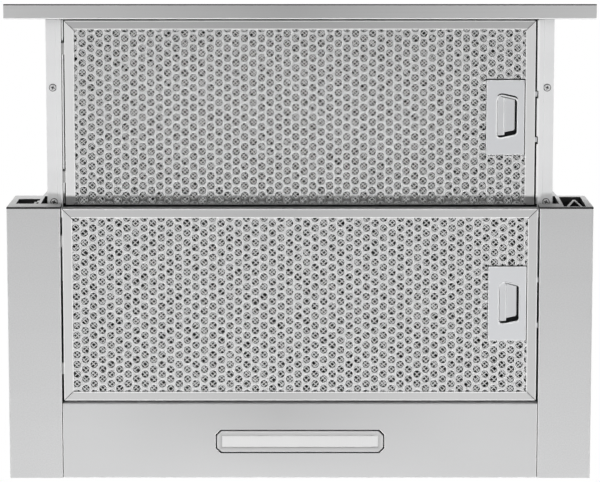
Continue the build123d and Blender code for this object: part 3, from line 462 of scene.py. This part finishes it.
# painted highlight: paler copies of the latch plastic for the grip rims, plate lips and slider ridges
rim_highlight_plastic = moulded("rim_highlight_plastic", grey(238, 0.008), 0.3)
rim_highlight_finishes = {"front": rim_highlight_plastic, "rear": moulded("rear_rim_highlight_plastic", grey(222, 0.012), 0.36)}
screw_zinc = galvanised("screw_zinc", grey(226))
SLOT_NODES = {
    "tray_paint": ["left_side_case", "right_side_case", "rear_panel", "front_crossbar"],
    "front_steel": ["fascia"],
    "zinc_sheet": [
        "deck_plate", "motor_box", "left_guide_channel", "right_guide_channel", "drawer_top",
        "drawer_crossmember", "motor_plate",
    ],
    "rail_paint": ["left_rail", "right_rail"],
    "cap_plastic": ["left_end_cap", "right_end_cap"],
    "sheet_aluminium": ["rear_filter_sheet", "front_filter_sheet"],
    "mesh_aluminium": ["rear_filter_mesh", "front_filter_mesh"],
    "latch_plastic": ["rear_latch_housing", "front_latch_housing"],
    "slider_plastic": ["rear_latch_slider", "front_latch_slider"],
    "bezel_plastic": ["led_bezel"],
    "lens_plastic": ["led_lens"],
    "board_metal": ["led_board"],
    "black_plastic": [
        "led_driver", "drawer_switch", "terminal_cover", "cable_gland", "duct_collar",
        "switch_block", "impeller_plate", "impeller_ring", "impeller_blades",
    ],
    "grey_plastic": ["terminal_box", "blower_base", "blower_scroll", "capacitor"],
    "flap_plastic": ["front_damper_flap", "rear_damper_flap"],
    "glide_plastic": ["glide_pads", "rail_glides"],
    "shaft_steel": ["motor_shaft", "damper_pin", "rail_screws"],
    "motor_metal": ["motor"],
    "button_plastic": [f"push_button_{n}" for n in range(1, 5)],
}
EDGES = {
    "tray_paint": 0.6, "front_steel": 0.5, "zinc_sheet": 0.3, "rail_paint": 0.5, "cap_plastic": 0.5,
    "lens_plastic": 0.4, "grey_plastic": 0.5, "black_plastic": 0.4, "glide_plastic": 0.5,
    "button_plastic": 0.3, "motor_metal": 0.5, "flap_plastic": 0.3,
}
FRAME_EDGE = 0.35


def soften(piece, width, weld=False, bright=False):
    """Rounds a piece's sharp edges by so many millimetres; with bright, the rounded edges get a painted
    highlight.
    """
    if weld:
        piece.modifiers.new("close seams", "WELD").merge_threshold = 0.01 * MM
    rounding = piece.modifiers.new("rounded edges", "BEVEL")
    rounding.width, rounding.segments = width * MM, 2
    rounding.limit_method, rounding.angle_limit = "ANGLE", math.radians(40)
    if bright:
        piece.data.materials.append(edge_highlight.material)
        rounding.material = 1
    piece.modifiers.new("flat faces", "WEIGHTED_NORMAL").keep_sharp = True


def dress(node_name, finish, width, bright=False):
    """Gives a built part its finish and rounded edges."""
    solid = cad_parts[node_name]
    solid.data.materials.clear()
    solid.data.materials.append(finish.material)
    if width:
        soften(solid, width, True, bright)


# painted highlight on the rounded edges of the tray parts
for slot_name, node_names in SLOT_NODES.items():
    for node_name in node_names:
        dress(node_name, FINISHES[slot_name], EDGES.get(slot_name, 0.0), slot_name == "tray_paint")
for filter_side, frame_finish in frame_finishes.items():
    dress(f"{filter_side}_filter_frame", frame_finish, FRAME_EDGE)


def level(outline, z):
    return [(x, y, z) for x, y in outline]


def oblong(x0, x1, y0, y1):
    return [(x0, y0), (x1, y0), (x1, y1), (x0, y1)]


def circle(radius, sides, x=0.0, y=0.0):
    angles = [2 * math.pi * i / sides for i in range(sides)]
    return [(x + radius * math.cos(a), y + radius * math.sin(a)) for a in angles]


def placed(foot, axis, points):
    """Points set on a foot, with their z along an axis."""
    turn = Vector(axis).to_track_quat("Z", "Y")
    return [Vector(foot) + turn @ Vector(p) for p in points]


def turns(corners):
    """Each corner with the ways back to the one before it and on to the next."""
    for i, corner in enumerate(corners):
        here, before, after = (Vector(p) for p in (corner, corners[i - 1], corners[(i + 1) % len(corners)]))
        yield here, (before - here).normalized(), (after - here).normalized()


def rounded(corners, radius, steps=6):
    """Outline with each corner rounded by one radius or its own, always with as many points to a corner."""
    outline = []
    radii = radius if isinstance(radius, tuple) else (radius,) * len(corners)
    for (here, into, away), corner_radius in zip(turns(corners), radii):
        reach = corner_radius / math.tan(into.angle(away) / 2)
        a, b = here + into * reach, here + away * reach
        for step in range(steps):
            t = step / (steps - 1)
            outline.append(tuple(a * (1 - t) ** 2 + here * (2 * t * (1 - t)) + b * t ** 2))
    return outline


def grown(corners, by):
    """Corners of the same outline set outward by so many millimetres."""
    return [
        tuple(here - (into + away).normalized() * by / math.sin(into.angle(away) / 2))
        for here, into, away in turns(corners)
    ]


class Shape:
    """Points in millimetres and the faces on them, made into one piece of the hood."""

    def __init__(self):
        self.points, self.faces = [], []

    def add(self, points, faces):
        start = len(self.points)
        self.points += [tuple(p) for p in points]
        self.faces += [tuple(start + i for i in face) for face in faces]

    def loft(self, rings, ends=True, joined=False):
        """Skin over rings of equal count; the ends are closed, or the last ring joins the first."""
        count = len(rings[0])
        faces = []
        for i in range(len(rings) - (not joined)):
            a, b = i * count, (i + 1) % len(rings) * count
            faces += [(a + j, a + (j + 1) % count, b + (j + 1) % count, b + j) for j in range(count)]
        if ends and not joined:
            faces.append(tuple(reversed(range(count))))
            faces.append(tuple(range((len(rings) - 1) * count, len(rings) * count)))
        self.add([p for ring in rings for p in ring], faces)

    def stack(self, *steps, **how):
        """Skin over outlines, each with its height."""
        self.loft([level(outline, z) for outline, z in steps], **how)

    def prism(self, outline, low, high):
        self.stack((outline, low), (outline, high))

    def block(self, x0, x1, y0, y1, z0, z1):
        self.prism(oblong(x0, x1, y0, y1), z0, z1)

    def turned(self, foot, axis, profile, sides=28):
        """Rings of a profile of radius and height about an axis from its foot."""
        self.loft([placed(foot, axis, level(circle(radius, sides), height)) for radius, height in profile])

    def screw(self, foot, axis, radius, height):
        """Pan head with a cross recess; axis points out of the head."""
        arm, recess_reach, recess_depth = 0.17 * radius, 0.62, 0.6
        shell = [(1.0, 0.0), (1.0, 0.45), (0.96, 0.66), (0.86, 0.84), (0.74, 0.94), (0.64, 0.98),
                 (0.6, 1.0), (0.5, 1.0), (0.38, 1.0), (0.26, 1.0), (0.14, 1.0), (0.05, 1.0)]
        rings = []
        for reach, rise in shell:
            ring = []
            for x, y in circle(reach * radius, 40):
                deep = reach < recess_reach and min(abs(x), abs(y)) < arm
                ring.append((x, y, height * (rise - recess_depth * deep)))
            rings.append(placed(foot, axis, ring))
        self.loft(rings)

    def bead(self, start, end, out, width, height):
        """Pressed rib with round ends between two points; out points off the sheet."""
        start, end, out = Vector(start), Vector(end), Vector(out)
        run = (end - start).normalized()
        side = run.cross(out)
        sides = 24
        rings = []
        for share, rise in ((1, 0), (0.82, 0.35), (0.62, 0.72), (0.35, 0.95), (0.1, 1)):
            ring = []
            for i in range(sides):
                angle = 2 * math.pi * (i + 0.5) / sides
                centre = end if math.cos(angle) > 0 else start
                spoke = run * math.cos(angle) + side * math.sin(angle)
                ring.append(centre + spoke * (share * width / 2) + out * (rise * height))
            rings.append(ring)
        self.loft(rings)

    def piece(
        self, name, body, slot, finish=None, stands_for=(), edge=0.0, crease=38, closed=True, bright=False,
        within=(),
    ):
        """Adds the piece to its body; within lists planes, by place and outward axis, that cut it off."""
        mesh = bpy.data.meshes.new(name)
        mesh.from_pydata([Vector(p) * MM for p in self.points], [], self.faces)
        work = bmesh.new()
        work.from_mesh(mesh)
        bmesh.ops.remove_doubles(work, verts=work.verts, dist=0.002 * MM)
        for place, outward in within:
            everything = work.verts[:] + work.edges[:] + work.faces[:]
            bmesh.ops.bisect_plane(
                work, geom=everything, plane_co=Vector(place) * MM, plane_no=outward, clear_outer=True
            )
        if closed:
            bmesh.ops.recalc_face_normals(work, faces=work.faces)
        for face in work.faces:
            face.smooth = True
        for seam in work.edges:
            seam.smooth = seam.calc_face_angle(math.pi) < math.radians(crease)
        work.to_mesh(mesh)
        work.free()
        made = bpy.data.objects.new(name, mesh)
        bpy.context.scene.collection.objects.link(made)
        mesh.materials.append((finish or FINISHES[slot]).material)
        if edge:
            soften(made, edge, bright=bright)
        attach(made, body)
        if stands_for:
            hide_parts(*stands_for)


def inside_frame(side):
    """Planes just inside the walls of a filter's frame."""
    this, wall = FILTERS[side], 1.0
    x, front = this.half - wall, this.front - FLANGE_Y + wall
    rear = this.rear if side == "front" else this.rear + FLANGE_Y - wall
    return [
        ((-x, 0, 0), (-1, 0, 0)), ((x, 0, 0), (1, 0, 0)),
        ((0, front, 0), (0, -1, 0)), ((0, rear, 0), (0, 1, 0)),
    ]


def in_opening(this, x, y, more_x, more_y, under_latch):
    """Whether a place lies in a filter's opening, or so far outside, and at most so far under its latch."""
    if abs(x) > this.half - FLANGE_X + more_x or not this.front - more_y < y < this.rear + more_y:
        return False
    return x <= this.half + LATCH_X[0] + under_latch or abs(y - this.latch_y) >= LATCH_HALF - under_latch


def hole_rings(x, y, spokes, profile):
    """Outlines and heights of a profile of radius and height about a hole's middle."""
    return [([(x + p.x * radius, y + p.y * radius) for p in spokes], z) for radius, z in profile]


def punched_sheet(side):
    """Sheet of the filter's underside: six-sided cells, each round one hole with a drawn rim."""
    this = FILTERS[side]
    face, back = this.under + SHEET_FACE, this.under + SHEET_BACK
    throat = ((HOLE_R - 0.4, back), (HOLE_R, face + 0.2), (HOLE_R + 0.43, face))
    rim = (
        (HOLE_R - 0.02, face + 0.25), (HOLE_R + 0.06, face - 0.08), (HOLE_R + 0.24, face - 0.16),
        (HOLE_R + 0.45, face - 0.02),
    )
    sheet, rims = Shape(), Shape()
    corners = [Vector(p) for p in circle(HOLE_PITCH / math.sqrt(3), 6)]
    border = []
    for start, end in zip(corners, corners[1:] + corners[:1]):
        border += [start, start * 2 / 3 + end / 3, start / 3 + end * 2 / 3]
    spokes = [p.normalized() for p in border]
    for column in range(-28, 29):
        x = HOLE_COLUMN * (column + this.hole_x)
        shift = HOLE_PITCH / 2 if column % 2 else 0
        for row in range(-3, 22):
            y = this.hole_y + shift + HOLE_PITCH * row
            if not in_opening(this, x, y, more_x=4.5, more_y=4.8, under_latch=3):
                continue
            cell = [(x + p.x, y + p.y) for p in border]
            sheet.stack((cell, back), *hole_rings(x, y, spokes, throat), (cell, face), ends=False)
            rims.stack(*hole_rings(x, y, spokes, rim), ends=False)
    sheet.piece(
        f"{side}_punched_sheet", this.body, "sheet_aluminium", stands_for=[f"{side}_filter_sheet"],
        closed=False, within=inside_frame(side),
    )
    rims.piece(
        f"{side}_hole_rims", this.body, "sheet_aluminium", hole_rim_highlight, closed=False, within=inside_frame(side)
    )


def wire_mesh(side):
    """Layers of crossed strands behind the sheet, each strand a little out of line along its length."""
    this = FILTERS[side]
    drift, wander, most = random.Random(side), 0.35, 0.7
    reach, length = 280.0, 5.0
    near, wide_near = this.strand_pitch, this.strand_half
    section = ((-1, 0.4), (-0.45, 0), (0.45, 0), (1, 0.4))
    middle = Vector((0, (this.front + this.rear) / 2))
    mesh = Shape()
    for rise, pitch, wide, slant in (
        (1.7, near, wide_near, 44), (2.0, near * 1.04, wide_near, -41),
        (4.2, 4.2, 0.5, 20), (4.5, 4.6, 0.5, -64),
    ):
        low = this.under + rise
        run = Vector((math.cos(math.radians(slant)), math.sin(math.radians(slant))))
        side_step = Vector((-run.y, run.x))
        for line in range(-int(reach / pitch), int(reach / pitch) + 1):
            bend = 0.0
            for step in range(-int(reach / length), int(reach / length)):
                start = bend
                bend = max(-most, min(most, start + drift.uniform(-wander, wander)))
                centre = middle + side_step * (line * pitch + start) + run * ((step + 0.5) * length)
                if not in_opening(this, *centre, more_x=1.5, more_y=1.5, under_latch=0.5):
                    continue
                strand = []
                for along, out in ((step, start), (step + 1, bend)):
                    p = middle + side_step * (line * pitch + out) + run * (along * length)
                    strand += [
                        (p.x + side_step.x * wide * a, p.y + side_step.y * wide * a, low + b)
                        for a, b in section
                    ]
                mesh.add(strand, [(i, i + 1, i + 5, i + 4) for i in range(3)])
    mesh.piece(
        f"{side}_wire_mesh", this.body, "mesh_aluminium", mesh_finishes[side],
        stands_for=[f"{side}_filter_mesh"], crease=50, closed=False, within=inside_frame(side),
    )


def grip_opening(side, by):
    """Outline of the finger opening in a filter's latch, set outward by so many millimetres."""
    this = FILTERS[side]
    grip = [(this.half + x, this.latch_y + y) for x, y in GRIP]
    return rounded(grown(grip, by), tuple(r + by for r in this.grip_corners))


def latch_plate(side):
    """Plate of a latch on a near-black strip that paints the shadow round its edge, with a painted highlight
    on its edge lip and on the raised rim round the finger opening.
    """
    this = FILTERS[side]
    half, mid, under = this.half, this.latch_y, this.under
    face, back = under - 1.0, under + 1.6
    left, right, front, rear = half + LATCH_X[0], half + LATCH_X[1], mid - LATCH_HALF, mid + LATCH_HALF
    edge = oblong(left, right, front, rear)
    gap = this.grip_gap
    slot = ((-39.6, -23.0 - gap), (-17.7, -18.2 - gap), (-17.7, 18.2), (-39.6, 22.4))
    slot = rounded([(half + x, mid + y) for x, y in slot], tuple(r + 1 for r in this.grip_corners))
    outer = rounded(edge, 1.6)
    plate = Shape()
    plate.stack(
        (outer, back), (outer, face + 0.5), (rounded(grown(edge, -0.5), 1.3), face),
        (slot, face), (slot, back), joined=True,
    )
    plate.piece(f"{side}_latch_plate", this.body, "latch_plastic", stands_for=[f"{side}_latch_housing"])
    # painted highlight: the grip rim and the plate's edge lip are paler than the plate
    rim = Shape()
    profile = ((1.7, 0.2), (1.4, -0.25), (0.8, -0.4), (0.2, -0.2), (0.05, 1.2), (0.6, 1.6))
    rim.stack(*((grip_opening(side, by), face + rise) for by, rise in profile), ends=False)
    rim.piece(f"{side}_grip_rim", this.body, "latch_plastic", rim_highlight_finishes[side], closed=False)
    lip = Shape()
    profile = ((0.02, 1.6, 0.6), (0.0, 1.6, 0.42), (-0.45, 1.3, -0.06), (-0.9, 1.1, -0.02))
    lip.stack(*((rounded(grown(edge, by), radius), face + rise) for by, radius, rise in profile), ends=False)
    lip.piece(f"{side}_plate_lip", this.body, "latch_plastic", rim_highlight_plastic, closed=False)
    # painted shadow: near-black strip under the plate, reaching out past its front edge
    inner = rounded(grown(edge, -1.5), 1.0)
    outer = oblong(left - 0.2, half - FLANGE_X - 0.05, front - this.shadow_reach, rear + 0.2)
    outer = rounded(outer, 1.2)
    top, bottom = under + 0.62, under + 0.3
    seal = Shape()
    seal.stack((inner, top), (outer, top), (outer, bottom), (inner, bottom), joined=True)
    seal.piece(f"{side}_plate_shadow_strip", this.body, "black_plastic", shade_black_plastic)


def latch_well(side):
    """Well behind a latch's finger opening, open where the bolts pass, near-black as painted shade."""
    this = FILTERS[side]
    mid, under = this.latch_y, this.under
    left, right, wall = this.half - 48.6, this.half - 11.4, 1.2
    low, roof, top = under + 1.6, under + 7.2, under + 8
    front, rear, bolts = mid - 28, mid + 28, 20.4
    well = Shape()
    well.block(left, left + wall, front, rear, low, top)
    well.block(left + wall, right, front, rear, roof, top)
    well.block(left + wall, right, front, front + wall, low, roof)
    well.block(left + wall, right, rear - wall, rear, low, roof)
    well.block(right - wall, right, mid - bolts, mid + bolts, low, roof)
    inner, outer = grip_opening(side, 0.3), grip_opening(side, 3.6)
    shelf, shelf_top = under + 0.75, under + 1.2
    well.stack((inner, shelf), (outer, shelf), (outer, shelf_top), (inner, shelf_top), joined=True)
    well.piece(f"{side}_latch_well", this.body, "black_plastic", shade_black_plastic, edge=0.15)


def latch_slider(side):
    """Slider of a latch: two bolts, a finger panel and a pull with a ridge in a paler copy of its plastic, a
    painted highlight.
    """
    this = FILTERS[side]
    half, mid, under, bolt_end = this.half, this.latch_y, this.under, this.bolt_end
    left, bar, edge = half - 41.9, half - 31.2, half - 20.7
    bolts = [
        (left, -26), (bolt_end, -26), (bolt_end, -21), (edge, -21), (edge, 12.6), (edge - 1, 13.6),
        (bar, 15.6), (bar, 18.4), (left + 4, 19), (left + 4, 21), (bolt_end, 21), (bolt_end, 26), (left, 26),
    ]
    panel = [(bar - 0.5, -20.4), (edge, -17.6), (edge, 12.2), (edge - 1.2, 13.6), (bar - 0.5, 15.6)]
    pull = [(half - 38.2, -21.4), (bar, -20.4), (bar, 18.2), (half - 38.2, 18.8)]
    slider = Shape()
    for outline, low, high in ((bolts, 5, 6.8), (panel, 2.7, 5.1), (pull, 1.8, 5.1)):
        slider.prism([(x, mid + y) for x, y in outline], under + low, under + high)
    # painted highlight on the front slider's rounded edges
    slider.piece(
        f"{side}_finger_slider", f"{side}_latch", "slider_plastic", stands_for=[f"{side}_latch_slider"],
        edge=0.35, bright=side == "front",
    )
    x, z = bar - 0.6, under + 1.85
    ridge = Shape()
    ridge.bead((x, mid - 19.6, z), (x, mid + 17.4, z), (0, 0, -1), 1.3, 0.5)
    ridge.piece(f"{side}_slider_ridge", f"{side}_latch", "slider_plastic", rim_highlight_finishes[side])


def drawer_filter_frame():
    """Channel of the drawer's filter: flanges at the front and sides, and the sheet out to its rear wall."""
    this = FILTERS["front"]
    half, opening, under, mid = this.half, this.front, this.under, this.latch_y
    front, rear, inner, skin, top = opening - FLANGE_Y, this.rear + 0.8, half - FLANGE_X, 0.8, under + 9.0
    slack, bolt_near, bolt_far, tab_from_middle, tab_half = 0.05, 20.4, 26.6, 66, 6
    channel = Shape()
    for low in (under, top - skin):
        channel.prism([(-half, front), (half, front), (inner, opening), (-inner, opening)], low, low + skin)
        for x, near in ((-half, -inner), (half, inner)):
            flange = [(x, front + 0.1), (near, opening + 0.1), (near, rear), (x, rear)]
            channel.prism(flange, low, low + skin)
    floor, roof = under + skin - 0.1, top - skin + 0.1
    channel.block(slack - half, skin - half, front + slack, rear - slack, floor, roof)
    ends = [
        front + slack, mid - bolt_far, mid - bolt_near, mid + bolt_near, mid + bolt_far, rear - slack,
    ]
    for i, (a, b) in enumerate(zip(ends, ends[1:])):
        bolt_passes = i % 2
        for low, high in ((floor, under + 4.6), (under + 7.2, roof)) if bolt_passes else ((floor, roof),):
            channel.block(half - skin, half - slack, a, b, low, high)
    channel.block(skin - half, half - skin, front + slack, front + skin, floor, roof)
    channel.block(slack - inner, inner - slack, rear - skin, rear - slack, under + 0.4, roof)
    channel.block(slack - inner, inner - slack, rear - 4, rear - skin - slack, top - skin, top - slack)
    for y in ((front + rear) / 2 - tab_from_middle, (front + rear) / 2 + tab_from_middle):
        channel.block(-247.0, 0.1 - half, y - tab_half, y + tab_half, under + 1.6, under + 3.6)
    channel.piece(
        "drawer_filter_channel", this.body, "filter_aluminium", frame_finishes["front"],
        stands_for=["front_filter_frame"], edge=0.3,
    )


def light_bezel():
    """Flush frame with cut corners round the diffuser."""
    half_x, half_y, cut, back = 85.9, 11.0, 4.8, FLOOR + 1.9
    eight = [
        (-half_x, cut - half_y), (cut - half_x, -half_y), (half_x - cut, -half_y), (half_x, cut - half_y),
        (half_x, half_y - cut), (half_x - cut, half_y), (cut - half_x, half_y), (-half_x, half_y - cut),
    ]
    eight = [(x, y + LIGHT_Y) for x, y in eight]
    four = oblong(-LENS_HALF[0], LENS_HALF[0], LIGHT_Y - LENS_HALF[1], LIGHT_Y + LENS_HALF[1])
    outer, inner = rounded(eight, 3.2, 4), rounded(four, 0.7, 8)
    bezel = Shape()
    bezel.stack(
        (outer, back),
        (outer, FLOOR + 0.4),
        (rounded(grown(eight, -0.4), 3.0, 4), FLOOR),
        (rounded(grown(four, 0.9), 1.2, 8), FLOOR),
        (rounded(grown(four, 0.45), 0.9, 8), FLOOR + 0.12),
        (inner, FLOOR + 0.6),
        (inner, back),
        joined=True,
    )
    bezel.piece("light_bezel", "body", "bezel_plastic", stands_for=["led_bezel"])


def fasteners():
    """Screws of the rails, the box above the tray and the collar; black rings and crosses at the rail screws
    are painted shade in their seats and recesses.
    """
    down, up = (0, 0, -1), (0, 0, 1)
    seat, from_duct = -39.5, 65
    rails, marks = Shape(), Shape()
    shadow_ring = [(3.0, 0), (3.9, 0), (3.9, 0.35), (3.7, 0.5), (3.1, 0.5), (3.0, 0.4)]
    for x in (-253.6, 253.6):
        for y in (-262.0, -144.0):
            rails.screw((x, y, seat), down, 3.2, 1.4)
            marks.turned((x, y, seat + 0.1), down, shadow_ring)
            for turn in (25, 115):
                run = Vector((math.cos(math.radians(turn)), math.sin(math.radians(turn)), 0)) * 2.1
                foot = Vector((x, y, seat - 0.8))
                marks.bead(foot - run, foot + run, down, 1.2, 0.65)
    rails.piece("rail_cross_screws", "drawer", "shaft_steel", screw_zinc, stands_for=["rail_screws"])
    marks.piece("rail_screw_shade_marks", "drawer", "shaft_steel", FINISHES["black_plastic"])
    box = Shape()
    for x in (-283.0, 283.0):
        for y in (-120.0, -15.0, 95.0):
            box.screw((x, y, FOOT_TOP), up, 3.6, 2.2)
    for x in (-230.0, -80.0, 80.0, 230.0):
        box.screw((x, 124.0, FOOT_TOP), up, 3.6, 2.2)
    for i in range(4):
        angle = math.pi / 4 + math.pi / 2 * i
        x, y = from_duct * math.cos(angle), COLLAR[1] + from_duct * math.sin(angle)
        box.screw((x, y, BOX_TOP + 2), up, 2.9, 1.9)
    for x in (-240.0, -60.0, 150.0):
        box.screw((x, -128.0, BOX_TOP), up, 3.2, 1.8)
    box.piece("box_screws", "body", "shaft_steel")


def box_sheet():
    """Folded foot of the box on the deck, and the pressed ribs of the box and of the drawer's top."""
    foot = Shape()
    for x0, x1 in ((-290, -BOX_SIDE), (BOX_SIDE, 290)):
        foot.block(x0, x1, -134, 112, 0, FOOT_TOP)
    foot.block(-270, 270, BOX_REAR, 131, 0, FOOT_TOP)
    foot.piece("box_foot", "body", "zinc_sheet", edge=0.3)
    ribs, wide, high = Shape(), 9, 2.2
    for x in (-220.0, -185.0, -150.0, -115.0, 120.0, 155.0):
        ribs.bead((x, -95, BOX_TOP), (x, 80, BOX_TOP), (0, 0, 1), wide, high)
    for z in (38.0, 74.0):
        for x in (-BOX_SIDE, BOX_SIDE):
            ribs.bead((x, -105, z), (x, 82, z), (math.copysign(1, x), 0, 0), wide, high)
        ribs.bead((-235, BOX_REAR, z), (235, BOX_REAR, z), (0, 1, 0), wide, high)
        ribs.bead((-235, BOX_FRONT, z), (235, BOX_FRONT, z), (0, -1, 0), wide, high)
    ribs.piece("box_ribs", "body", "zinc_sheet")
    drawer_ribs, drawer_top = Shape(), -12
    for x in (-190.0, -95.0, 0.0, 95.0):
        drawer_ribs.bead((x, -300, drawer_top), (x, -160, drawer_top), (0, 0, 1), wide, 1.4)
    drawer_ribs.piece("drawer_ribs", "drawer", "zinc_sheet")


def collar():
    """Duct collar: flange, tapered spigot with two grip rings, and the seats of the damper's pin."""
    x, y, z = COLLAR
    outside = [(58, 0), (70, 0), (70, 1.6), (69.6, 2), (61, 2), (60.2, 2.6), (60, 3.4), (60, 14)]
    for ring in (14, 24):
        outside += [(60, ring), (59.2, ring + 0.8), (59.2, ring + 3), (60, ring + 3.8)]
    outside += [(60, 40), (59.3, 50.8), (58.9, 51.7), (58.5, 52), (58.1, 51.7), (58, 51)]
    tube = Shape()
    tube.stack(*((circle(radius, 72, x, y), z + rise) for radius, rise in outside), joined=True)
    for side in (-1, 1):
        tube.block(*sorted((side * 53.0, side * 59.0)), y - 3, y + 3, z, z + 2.9)
    tube.piece("duct_spigot", "body", "black_plastic", stands_for=["duct_collar"], crease=32)


def gland():
    """Cable gland: six-sided body, ribbed dome nut and a seal with the bore for the supply."""
    x, y, z = GLAND
    nut = Shape()
    hexagon, inner = circle(10.2, 6, x, y), circle(4.6, 6, x, y)
    nut.stack(
        (hexagon, z), (hexagon, z + 3.4), (grown(hexagon, -0.7), z + 4),
        (inner, z + 4), (inner, z), joined=True,
    )
    rings, sides = [], 48
    for radius, rise, rib in (
        (8.6, 4, 0), (8.8, 4.2, 0.5), (8.8, 7.2, 0.5), (8.0, 8.6, 0.3), (6.6, 9.7, 0), (5.4, 10, 0),
        (4.5, 9.6, 0), (4.5, -8, 0), (5.9, -8, 0), (5.9, 4, 0),
    ):
        ring = []
        for i in range(sides):
            angle = 2 * math.pi * i / sides
            reach = radius + rib * (0.5 if i % 4 < 2 else -0.5)
            ring.append((x + reach * math.cos(angle), y + reach * math.sin(angle), z + rise))
        rings.append(ring)
    nut.loft(rings, joined=True)
    nut.piece("supply_gland", "body", "black_plastic", stands_for=["cable_gland"], crease=30)


def rail_trim():
    """Pale lips along the rails in the painted highlight finish, broken where the bolts pass, and the ledge
    at the hinged edge.
    """
    lip = Shape()
    for y0, y1 in ((RAIL_FRONT, -259), (-251, -212), (-204, RAIL_REAR)):
        lip.block(243.1, 244.8, y0, y1, -41, -39.8)
    lip.block(-244.6, -243.1, RAIL_FRONT, RAIL_REAR, -33.4, -29.6)
    lip.piece("rail_lip", "drawer", "rail_paint", edge_highlight, edge=0.25)
    ledge = Shape()
    outline = [
        (-244.6, -29.4), (-239.8, -29.4), (-239.8, -28.4), (-242.6, -28.4), (-243.4, -27.6), (-244.6, -27.6),
    ]
    ledge.loft([[(x, y, z) for x, z in outline] for y in (RAIL_FRONT, RAIL_REAR)])
    ledge.piece("hinge_ledge", "drawer", "rail_paint", FINISHES["black_plastic"], edge=0.2)


def cap_clips():
    """Spring strip in the right end cap's pocket, stepped hook in the left one, bridges over the rails in
    near-black as painted shade.
    """
    clips = Shape()
    for half, *ends in (
        (1.1, (273.2, -63.0), (284.2, -22.0)), (0.8, (284.8, -22.0), (288.6, -63.0)),
        (1.2, (-270.7, -36.0), (-270.7, -27.0)), (1.2, (-273.0, -47.0), (-273.0, -34.0)),
    ):
        rings = []
        for x, z in ends:
            face = CAP_FRONT - CAP_RAKE * (z - FLOOR) / CAP_HEIGHT
            rings.append(level(oblong(x - half, x + half, face + 0.5, face + 1.7), z))
        clips.loft(rings)
    clips.piece("cap_springs", "body", "cap_plastic", FINISHES["button_plastic"], edge=0.2)
    bridges = Shape()
    for side in (-1, 1):
        bridges.block(*sorted((side * 246.0, side * 266.6)), FRONT - 6, FRONT + 0.2, -3.6, -0.6)
    bridges.piece("notch_bridges", "body", "cap_plastic", shade_black_plastic, edge=0.3)


for filter_side in FILTERS:
    punched_sheet(filter_side)
    wire_mesh(filter_side)
    latch_plate(filter_side)
    latch_well(filter_side)
    latch_slider(filter_side)
drawer_filter_frame()
light_bezel()
fasteners()
box_sheet()
collar()
gland()
rail_trim()
cap_clips()

scene = bpy.context.scene
scene.view_settings.view_transform = "Standard"


def plain_rays(nodes):
    """1 for what the camera, gloss and glass see, 0 for light on the object."""
    path = nodes.node("ShaderNodeLightPath").socket.node.outputs
    seen = [Shade(nodes, path[ray]) for ray in ("Is Camera Ray", "Is Glossy Ray", "Is Transmission Ray")]
    return seen[0].either(seen[1]).either(seen[2])


def photo_camera():
    """Camera below the hood and in front of it, looking up."""
    tilt, place = math.radians(7.19), (0, -0.435, -2.668)
    forward = Vector((0, math.sin(tilt), math.cos(tilt)))
    image_up = Vector((0, -math.cos(tilt), math.sin(tilt)))
    camera = bpy.data.objects.new("camera", bpy.data.cameras.new("camera"))
    camera.data.lens, camera.data.sensor_width = 153.8, 36.0
    camera.data.clip_end = 60.0
    turn = Matrix(((1, 0, 0), image_up, -forward)).transposed()
    camera.matrix_world = Matrix.Translation(place) @ turn.to_4x4()
    scene.collection.objects.link(camera)
    scene.camera = camera


def studio():
    """White surround, pale floor far below, and soft boxes round the hood."""
    white = {"Color": (1, 1, 1), "Strength": 1.0}
    world = bpy.data.worlds.new("studio")
    world.use_nodes = True
    scene.world = world
    air = Nodes(world.node_tree)
    soft = air.node("ShaderNodeBackground", {}, {"Color": (0.98, 0.99, 1.0), "Strength": 0.02})
    backdrop = air.node("ShaderNodeBackground", {}, white)
    both = air.node("ShaderNodeMixShader", {}, {0: plain_rays(air), 1: soft, 2: backdrop})
    air.node("ShaderNodeOutputWorld", {}, {"Surface": both})

    mesh = bpy.data.meshes.new("floor")
    mesh.from_pydata(level(oblong(-9.0, 9.0, -9.0, 9.0), -7.0), [], [(0, 1, 2, 3)])
    floor = bpy.data.objects.new("floor", mesh)
    scene.collection.objects.link(floor)
    pale = bpy.data.materials.new("pale_floor")
    pale.use_nodes = True
    paint = Nodes(pale.node_tree)
    matt = paint.node("ShaderNodeBsdfDiffuse", {}, {"Color": (0.12, 0.12, 0.12)})
    glow = paint.node("ShaderNodeEmission", {}, white)
    mixed = paint.node("ShaderNodeMixShader", {}, {0: plain_rays(paint), 1: matt, 2: glow})
    paint.node("ShaderNodeOutputMaterial", {}, {"Surface": mixed})
    mesh.materials.append(pale)

    aim = Vector((0, -0.08, -0.02))
    for name, place, size, power in (
        ("key_softbox", (-0.1, 0.95, -2.75), 0.22, 86.0),
        ("left_softbox", (-2.6, -0.3, 0.6), 1.2, 46.0),
        ("right_softbox", (2.6, -0.5, 0.6), 1.2, 42.0),
        ("front_softbox", (-0.4, -3.0, 0.78), 1.6, 72.0),
        ("rear_softbox", (0.3, 3.0, 0.8), 1.6, 40.0),
        ("top_softbox", (0.8, 0.9, 2.8), 1.6, 60.0),
    ):
        lamp = bpy.data.lights.new(name, "AREA")
        lamp.shape, lamp.size, lamp.energy = "SQUARE", size, power
        box = bpy.data.objects.new(name, lamp)
        box.location = place
        box.visible_glossy = False
        box.rotation_mode = "QUATERNION"
        box.rotation_quaternion = (aim - Vector(place)).to_track_quat("-Z", "Y")
        scene.collection.objects.link(box)


photo_camera()
studio()
